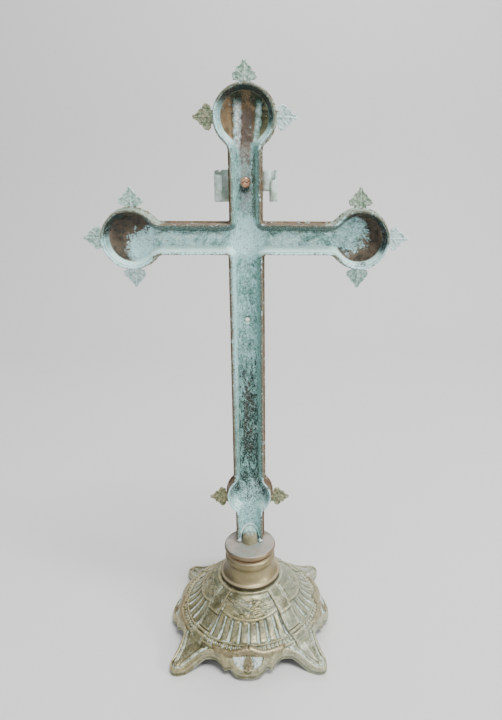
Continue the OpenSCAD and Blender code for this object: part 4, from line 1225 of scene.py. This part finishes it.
def flutes(e):
    """Grooves between rounded crowns."""
    fl = smooth(e.radius, e.band_low + 1.2, e.band_low + 2.4) * smooth(e.radius, 62.4, 60.6) * e.off_strap
    step = 9.0
    ph = np.radians((e.angle + step / 2 + 450) % step - step / 2) * e.radius
    hw = np.radians(step / 2) * e.radius
    flute = gauss(ph, 0.95)
    crown = np.sqrt(np.clip(1 - ((np.abs(ph) - hw) / hw) ** 2, 0, 1))
    e.h += fl * (0.75 * crown - 1.55 * flute)
    e.mark(cav=fl * np.clip(gauss(ph, 0.75 + 0.4 * smooth(e.radius, 50, 60)) * 1.3, 0, 1))
    e.mark(dark=fl * gauss(np.abs(ph) - 1.5 - 0.5 * smooth(e.radius, 50, 60), 0.45) * 0.6)
    e.mark(ridge=fl * smooth(crown, 0.75, 1.0) * 0.45)
    e.mark(cav=0.5 * gauss(e.radius - 61.9, 0.7) * e.off_strap)


def borders(e):
    """Fillet, border of eggs, fillet."""
    for r0 in (63.1, 68.5):
        line = bump(e.radius - r0, 0.75) * e.off_strap
        e.h += 0.95 * line
        e.mark(ridge=line * 0.85)
    border = smooth(np.abs(e.radius - 65.8), 2.3, 1.7) * e.off_strap
    bstep = 3.46
    pb = np.radians((e.angle + 450) % bstep - bstep / 2) * e.radius
    egg = np.sqrt(np.clip(1 - (pb / 1.55) ** 2 - ((e.radius - 65.8) / 1.75) ** 2, 0, 1)) * e.off_strap
    e.h += 1.6 * egg - 0.6 * border
    e.mark(cav=border * smooth(egg, 0.5, 0.1) * 0.75)
    e.mark(dark=border * gauss(egg - 0.12, 0.18) * (np.abs(pb) < 1.7) * 0.95)
    e.mark(ridge=egg * 0.8)


def straps(e):
    """Overlapping plates with rolled edges, and a double band above each foot."""
    plates = np.array([31.0, 48.3, 60.0, 75.0])
    rise = np.zeros_like(e.radius)
    for p0, p1 in zip(plates[:-1], plates[1:]):
        rise = np.where((e.radius >= p0) & (e.radius < p1), 0.8 + 1.1 * smooth(e.radius, p0, p1 - 1.5), rise)
    e.h = e.h * e.off_strap + e.on_strap * (rise + 0.45 * bump(e.strap_edge - 0.95, 0.85))
    e.cav = e.cav * e.off_strap + e.on_strap * (0.16 + 0.3 * gauss(e.strap_edge - 2.6, 0.7))
    e.dark = e.dark * e.off_strap
    e.ridge = e.ridge * e.off_strap + e.on_strap * 0.8 * bump(e.strap_edge - 0.95, 0.85)
    for p0 in plates[1:3]:
        e.mark(dark=e.on_strap * 0.95 * gauss(e.radius - p0 - 0.35, 0.5))
        e.mark(ridge=e.on_strap * gauss(e.radius - p0 + 0.7, 0.7))
    for p0 in (61.8, 65.4):
        e.h += e.on_strap * 1.0 * bump(e.radius - p0, 1.15)
        e.mark(ridge=e.on_strap * bump(e.radius - p0, 1.15))
    e.mark(dark=e.on_strap * 0.9 * gauss(e.radius - 63.6, 0.45))
    # painted shadow along both edges of each strap, stronger on the edge at positive angle
    side = smooth(e.radius, 32.4, 33.4)
    e.mark(dark=gauss(e.strap_edge + 0.45, 0.42) * side * np.where(e.angle > 0, 1.0, 0.45))
    e.mark(cav=gauss(e.strap_edge + 1.1, 0.7) * side * 0.6)


def bracket(radius, angle):
    """Two mouldings that spring from a rounded apex over each lobe and taper outwards."""
    sag = np.interp(angle, [0, 2, 4.5, 8, 12, 16, 20, 24, 28, 31],
                    [66.0, 65.9, 66.9, 68.7, 69.9, 70.1, 69.7, 69.0, 68.2, 67.4])
    wide = np.interp(angle, [0, 4, 10, 17, 22, 27, 31], [3.9, 3.1, 2.8, 2.7, 2.2, 1.4, 0.6])
    return bump(radius - sag, wide) * smooth(angle, 31, 26)


def dome_bracket(e):
    """The bracket's upper half."""
    notch = gauss(e.across, 0.7) * smooth(e.radius, 67.5, 64.5)
    arm = bracket(e.radius, e.away)
    br = arm * (2.4 + 0.6 * gauss(e.across, 4.5)) * (1 - 0.45 * notch)
    on_br = smooth(br, 0.05, 0.5)
    e.h = e.h * (1 - on_br) + br * on_br
    e.cav = e.cav * (1 - on_br)
    e.dark = e.dark * (1 - on_br)
    e.ridge = e.ridge * (1 - on_br) + on_br * smooth(br, 1.2, 2.6) * 0.6
    e.mark(dark=0.9 * gauss(br - 0.12, 0.14) * (br > 0.01) + 0.6 * notch * (arm > 0.3))
    e.mark(warm=on_br)


def skirt_rows(phi, loc, rout, zt, r0, z0):
    """Grid and marks from the fillet over the rim out to the edge of lobes, arches and feet."""
    T = np.linspace(0, 1, 52)[1:, None]
    e = Relief(r0 + (rout - r0) * T, loc)
    e.share = T
    lobe_z = z0 + (zt - z0) * (0.62 * T + 0.38 * (1 - (1 - T) ** 2.2))
    foot_z = np.interp(e.radius, [69, 72, 76, 80, 84, 88, 93, 100],
                       [22.6, 20.0, 16.6, 13.6, 11.2, 9.2, 7.4, 6.0])
    foot_z = np.minimum(foot_z, z0 + 0.4)
    mixf = smooth(T, 0.0, 0.3) * smooth(e.away, 31, 37)
    base_z = lobe_z * (1 - mixf) + foot_z * mixf
    e.off_axis = e.radius * np.sin(e.turn)
    e.along = e.radius * np.cos(e.turn)
    # distance to the outline: straight sides and round toe of a foot, radial on the lobes
    half_w = np.interp(e.along, [70, 74, 78, 84, 88, 91], [17.5, 15.4, 13.0, 10.6, 9.2, 8.5])
    toe = 8.5 - np.hypot(np.maximum(e.along - 90.9, 0), e.off_axis)
    d_foot = np.where(e.along > 90.9, toe, (half_w - e.off_axis) * 0.9)
    e.lobe_inset = rout - e.radius
    e.on_foot = smooth(e.away, 29, 35)
    e.inset = np.clip(e.lobe_inset * (1 - e.on_foot) + np.minimum(d_foot, e.lobe_inset * 1.8 + 0.2)
                      * e.on_foot, 0, 30)
    lip = bump(e.inset - 1.25, 1.3)
    ragged = (1 + 0.35 * vnoise(np.stack([e.radius * np.cos(phi), e.radius * np.sin(phi), e.radius * 0], -1),
                                6.0, 54))
    e.h += 1.5 * lip - 0.5 * gauss(e.inset - 3.2, 0.8)
    e.ridge = lip * 0.95
    e.cav = 0.95 * gauss(e.inset - 3.5, 0.95) * ragged
    e.dark = 0.8 * gauss(e.inset - 2.75, 0.35)
    foot_relief(e)
    lobe_relief(e, phi)
    skirt_bracket(e)
    e.h += 0.12 * vnoise(np.stack([e.radius * np.cos(phi), e.radius * np.sin(phi), base_z], -1), 3.5, 53)
    e.h *= smooth(T, 0.0, 0.06) * smooth(T, 1.0, 0.985)
    return np.stack([e.radius * np.cos(phi), e.radius * np.sin(phi), base_z + e.h], axis=-1), e.marks()


def foot_relief(e):
    """Inner moulding, and a raised tongue with a keel and a knob at the toe."""
    onf = smooth(e.radius, 71.5, 74.5) * e.on_foot
    lip2 = bump(e.inset - 4.7, 0.85) * onf
    e.h += 1.0 * lip2
    e.mark(ridge=lip2 * 0.9)
    tongue = smooth(e.inset, 6.2, 7.2) * onf * smooth(e.along, 72, 75) * smooth(e.along, 96, 93)
    toe_knob = np.sqrt(np.clip(1 - (e.off_axis / 2.7) ** 2 - ((e.along - 93.6) / 2.3) ** 2, 0, 1)) * e.on_foot
    e.h += 0.65 * tongue + 0.4 * tongue * gauss(e.off_axis, 1.2) + 1.2 * toe_knob
    e.cav = np.where(tongue > 0.5, 0.35, np.maximum(e.cav, 0.75 * onf * gauss(e.inset - 5.7, 0.5)))
    e.mark(dark=onf * 0.7 * gauss(e.inset - 5.95, 0.3))
    e.mark(ridge=np.maximum(tongue * 0.3, toe_knob * 0.7))


def lobe_relief(e, phi):
    """Hollow field with a bud."""
    field = smooth(e.lobe_inset, 2.5, 3.8) * (1 - e.on_foot) * smooth(e.away, 18, 13)
    e.h -= 0.9 * field * smooth(e.share, 0.12, 0.35)
    e.mark(cav=field * (0.72 + 0.3 * vnoise(np.stack([e.radius * np.cos(phi), e.radius * np.sin(phi),
                                                      e.radius * 0], -1), 2.2, 55)))
    bu, bv = np.abs(np.radians(e.angle) * e.radius), e.radius - 73.9
    swell = np.interp(bv, [-4.6, -2.4, 0.3, 2.5, 4.4], [0.6, 3.7, 4.6, 3.4, 0.4])
    bud = np.sqrt(np.clip(1 - (bu / swell) ** 2, 0, 1)) * (np.abs(bv) < 4.4) * bump(bv, 4.5) ** 0.5
    bud = np.nan_to_num(bud)
    e.h += 2.5 * bud - 0.5 * gauss(bu, 0.3) * (bud > 0.4)
    e.cav = np.where(bud > 0.1, 0.1, e.cav)
    e.mark(dark=0.8 * gauss(np.hypot(bu / 4.7, bv / 4.8) - 1.06, 0.1) * (1 - e.on_foot))
    e.dark = np.where(bud > 0.35, 0.25, e.dark)
    e.mark(ridge=bud * 0.35)
    e.warm = smooth(bud, 0.1, 0.4)


def skirt_bracket(e):
    """The bracket's lower half, and the open ground between arch, bracket and strap."""
    brs = bracket(e.radius, e.away) * (1 - smooth(e.away, 31, 33))
    on_brs = smooth(brs, 0.05, 0.25)
    e.h = e.h * (1 - on_brs) + 2.1 * brs * on_brs
    e.cav = e.cav * (1 - on_brs)
    e.dark = e.dark * (1 - on_brs)
    e.ridge = e.ridge * (1 - on_brs) + 0.5 * on_brs * smooth(brs, 0.5, 0.9)
    e.mark(dark=0.95 * gauss(brs - 0.08, 0.1) * (brs > 0.005))
    e.mark(warm=on_brs)
    e.mark(cav=0.7 * smooth(e.lobe_inset, 2.4, 3.4) * smooth(e.away, 20, 26) * (1 - e.on_foot))


def edge_rows(phi, absl, rout, zb, zt, infoot):
    """Rings of the thick rolled edge and the hollow underside, with their marks."""
    gx, marks = [], []
    most = np.where(absl > 25, 99.45, 79.15)

    def ring(r1, z1, c, g, d, u):
        r1, z1 = np.broadcast_to(r1, phi.shape), np.broadcast_to(z1, phi.shape)
        gx.append(np.stack([r1 * np.cos(phi), r1 * np.sin(phi), z1], axis=-1)[None])
        marks.append(tuple(np.full((1, len(phi)), float(v)) for v in (c, g, d, u, 0)))

    for dr, share, g in ((0.30, 0.93, 0.9), (0.48, 0.82, 0.7), (0.42, 0.70, 0.35), (0.15, 0.60, 0.1),
                         (-0.05, 0.48, 0.0), (0.0, 0.36, 0.0), (0.18, 0.24, 0.15), (0.22, 0.13, 0.3),
                         (0.05, 0.05, 0.2)):
        ring(np.minimum(rout + dr, most), zb + (zt - zb) * share, 0.25, g, 0.35 if 0.3 < share < 0.65
             else 0.0, 0)
    ring(rout - 0.7, zb, 0.2, 0, 0.3, 0)
    ring(rout - 2.0, zb, 0.2, 0, 0.2, 0.5)
    for T2 in np.linspace(0.12, 1, 10):
        r1 = (rout - 2.0) * (1 - T2) + 67.6 * T2
        under_f = np.interp(r1, [66, 70, 76, 85, 90, 101], [16.6, 13.8, 9.2, 3.2, 0.6, 0.0])
        under_l = np.interp(r1, [66, 70, 73, 76.5, 80], [16.6, 12.6, 8.4, 4.6, 3.4])
        z1 = np.maximum(under_l * (1 - infoot) + under_f * infoot, zb)
        ring(r1, zb + (z1 - zb) * smooth(T2, 0.0, 0.3), 0.3, 0, 0, 1)
    for r1, z1 in ((66, 20.0), (63, 21.8), (59, 23.6), (53, 28.1), (47, 34.8), (42, 41), (36.6, 47.2),
                   (31.5, 53.2), (30.0, 53.9), (24, 54.0), (14, 54.0), (5.4, 54.0), (5.4, 56), (5.4, 57.98),
                   (14, 57.98), (24, 57.98), (29.0, 57.98)):
        ring(r1, z1, 0.3, 0, 0, 1)
    return gx, marks


def base_casting():
    """The base as one closed skin of rings, from the neck's seat round to the hollow underside."""
    half = np.concatenate([np.linspace(0, 33, 98)[:-1], np.linspace(33, 45, 62)])
    a = np.concatenate([-half[:0:-1], half[:-1]])
    cols_deg = np.concatenate([a + q * 90.0 for q in range(4)]) + 90.0
    phi = np.radians(cols_deg)
    loc = (cols_deg - 90.0 + 45.0) % 90.0 - 45.0
    absl = np.abs(loc)
    rout = rim_outline(loc)
    infoot = smooth(absl, 25.5, 33)
    # heights of the rim's lower edge by radius, for a lobe and for a foot, and its thickness
    zb_l = np.interp(rout, [70.5, 71.5, 73, 76.5, 79.2], [11.6, 10.8, 7.6, 4.0, 3.0])
    zb_f = np.interp(rout, [71, 72.5, 76, 80, 85, 90, 101], [11.8, 11.0, 8.8, 6.2, 2.8, 0.0, 0.0])
    zb = zb_l * (1 - infoot) + zb_f * infoot
    zt = zb + 6.0 + 0.3 * smooth(rout, 84, 96) * infoot
    top, top_marks, r0, z0 = dome_rows(phi, loc)
    skirt, skirt_marks = skirt_rows(phi, loc, rout, zt, r0, z0)
    rings, ring_marks = edge_rows(phi, absl, rout, zb, zt, infoot)
    marks = [top_marks, skirt_marks, *ring_marks]
    g = np.concatenate([top, skirt, *rings], axis=0)
    g = np.concatenate([g, g[:1]], axis=0)
    g[..., 2] = np.maximum(g[..., 2], 0.0)
    attrs = {}
    for i, key in enumerate(("cav", "ridge", "dark", "under", "warm")):
        m = np.concatenate([q[i] for q in marks], axis=0)
        attrs[key] = np.clip(np.concatenate([m, m[:1]], axis=0), 0, 1)
    shape = Shape()
    shape.grid(g, wrap=True, **attrs)
    return shape.make("BaseCasting", BASE, ["base_casting"], weld=0.002)


# ---- stage, light and camera ---------------------------------------------------------------
def stage():
    """Pale floor and backdrop, soft room light and four large lamps."""
    def plain(name, colour, rough=0.9):
        m = Mat(name)
        n = m.noise(3.0, 3, 0.5)
        return m.done(m.mix(m.ramp(n, 0.3, 0.7), colour, tuple((c * 0.985 for c in colour))), 0.0, rough)

    # a pale sheet that runs along the floor and rises behind the object
    ys = np.concatenate([np.linspace(7.0, -0.9, 20), -0.9 - 0.5 * np.sin(np.linspace(0.1, np.pi / 2, 12)),
                         np.full(8, -1.4)])
    zs = np.concatenate([np.zeros(20), 0.5 - 0.5 * np.cos(np.linspace(0.1, np.pi / 2, 12)),
                         np.linspace(0.6, 3.2, 8)])
    xs = np.linspace(-7, 7, 15)
    g = np.array([[(x, y, z) for x in xs] for y, z in zip(ys, zs)])
    me = bpy.data.meshes.new("Floor")
    r, c = g.shape[:2]
    faces = [(i * c + j, i * c + j + 1, (i + 1) * c + j + 1, (i + 1) * c + j) for i in range(r - 1)
             for j in range(c - 1)]
    me.from_pydata(g.reshape(-1, 3).tolist(), [], faces)
    me.shade_smooth()
    me.materials.append(plain("pale_floor", (0.74, 0.735, 0.72)))
    ob = bpy.data.objects.new("Floor", me)
    bpy.context.scene.collection.objects.link(ob)

    world = bpy.data.worlds.new("soft_room")
    bpy.context.scene.world = world
    world.use_nodes = True
    bg = world.node_tree.nodes["Background"]
    bg.inputs[0].default_value = 0.93, 0.96, 1.0, 1
    bg.inputs[1].default_value = 0.55

    def lamp(name, where, size, watts, colour=(1, 1, 1)):
        d = bpy.data.lights.new(name, "AREA")
        d.shape, d.size, d.energy, d.color = "DISK", size, watts, colour
        o = bpy.data.objects.new(name, d)
        o.location = where
        o.rotation_euler = (Vector((0, 0, 0.25)) - Vector(where)).to_track_quat("-Z", "Y").to_euler()
        bpy.context.scene.collection.objects.link(o)

    lamp("Sky", (-0.5, 0.7, 2.2), 0.9, 52)
    lamp("Side", (-1.7, 0.9, 1.0), 0.6, 24)
    lamp("Fill", (1.4, 1.4, 0.7), 1.2, 4)
    lamp("FaceSide", (-0.2, -1.1, 1.5), 0.9, 8)


def camera():
    """The photograph's view: behind the cross and a little above it."""
    yaw = math.radians(1.04)
    dist, height, aside = 0.4877, 0.4464, 0.0294
    tilt, roll, focal = math.radians(18.79), math.radians(0.31), 588.2
    cam = bpy.data.cameras.new("Camera")
    ob = bpy.data.objects.new("Camera", cam)
    bpy.context.scene.collection.objects.link(ob)
    # it looks along +Y from -Y, then all is turned half round to the back of the cross
    turn = Matrix.Rotation(math.pi, 4, "Z") @ Matrix.Rotation(-yaw, 4, "Z")
    view = Matrix.Translation((aside, -dist, height)) @ Matrix.Rotation(math.pi / 2 - tilt, 4, "X")
    ob.matrix_world = turn @ view @ Matrix.Rotation(roll, 4, "Z")
    cam.sensor_fit = "VERTICAL"
    cam.sensor_height = 24.0
    cam.lens = focal / 720.0 * 24.0
    cam.shift_x = -30.0 / 720.0
    cam.clip_start, cam.clip_end = 0.02, 50
    bpy.context.scene.camera = ob


camera()
stage()
cross_casting()
titulus_scroll()
titulus_rivet()
collar_ring()
neck_bell()
tie_rod()
base_washer()
base_nut()
base_casting()

bpy.context.view_layer.update()
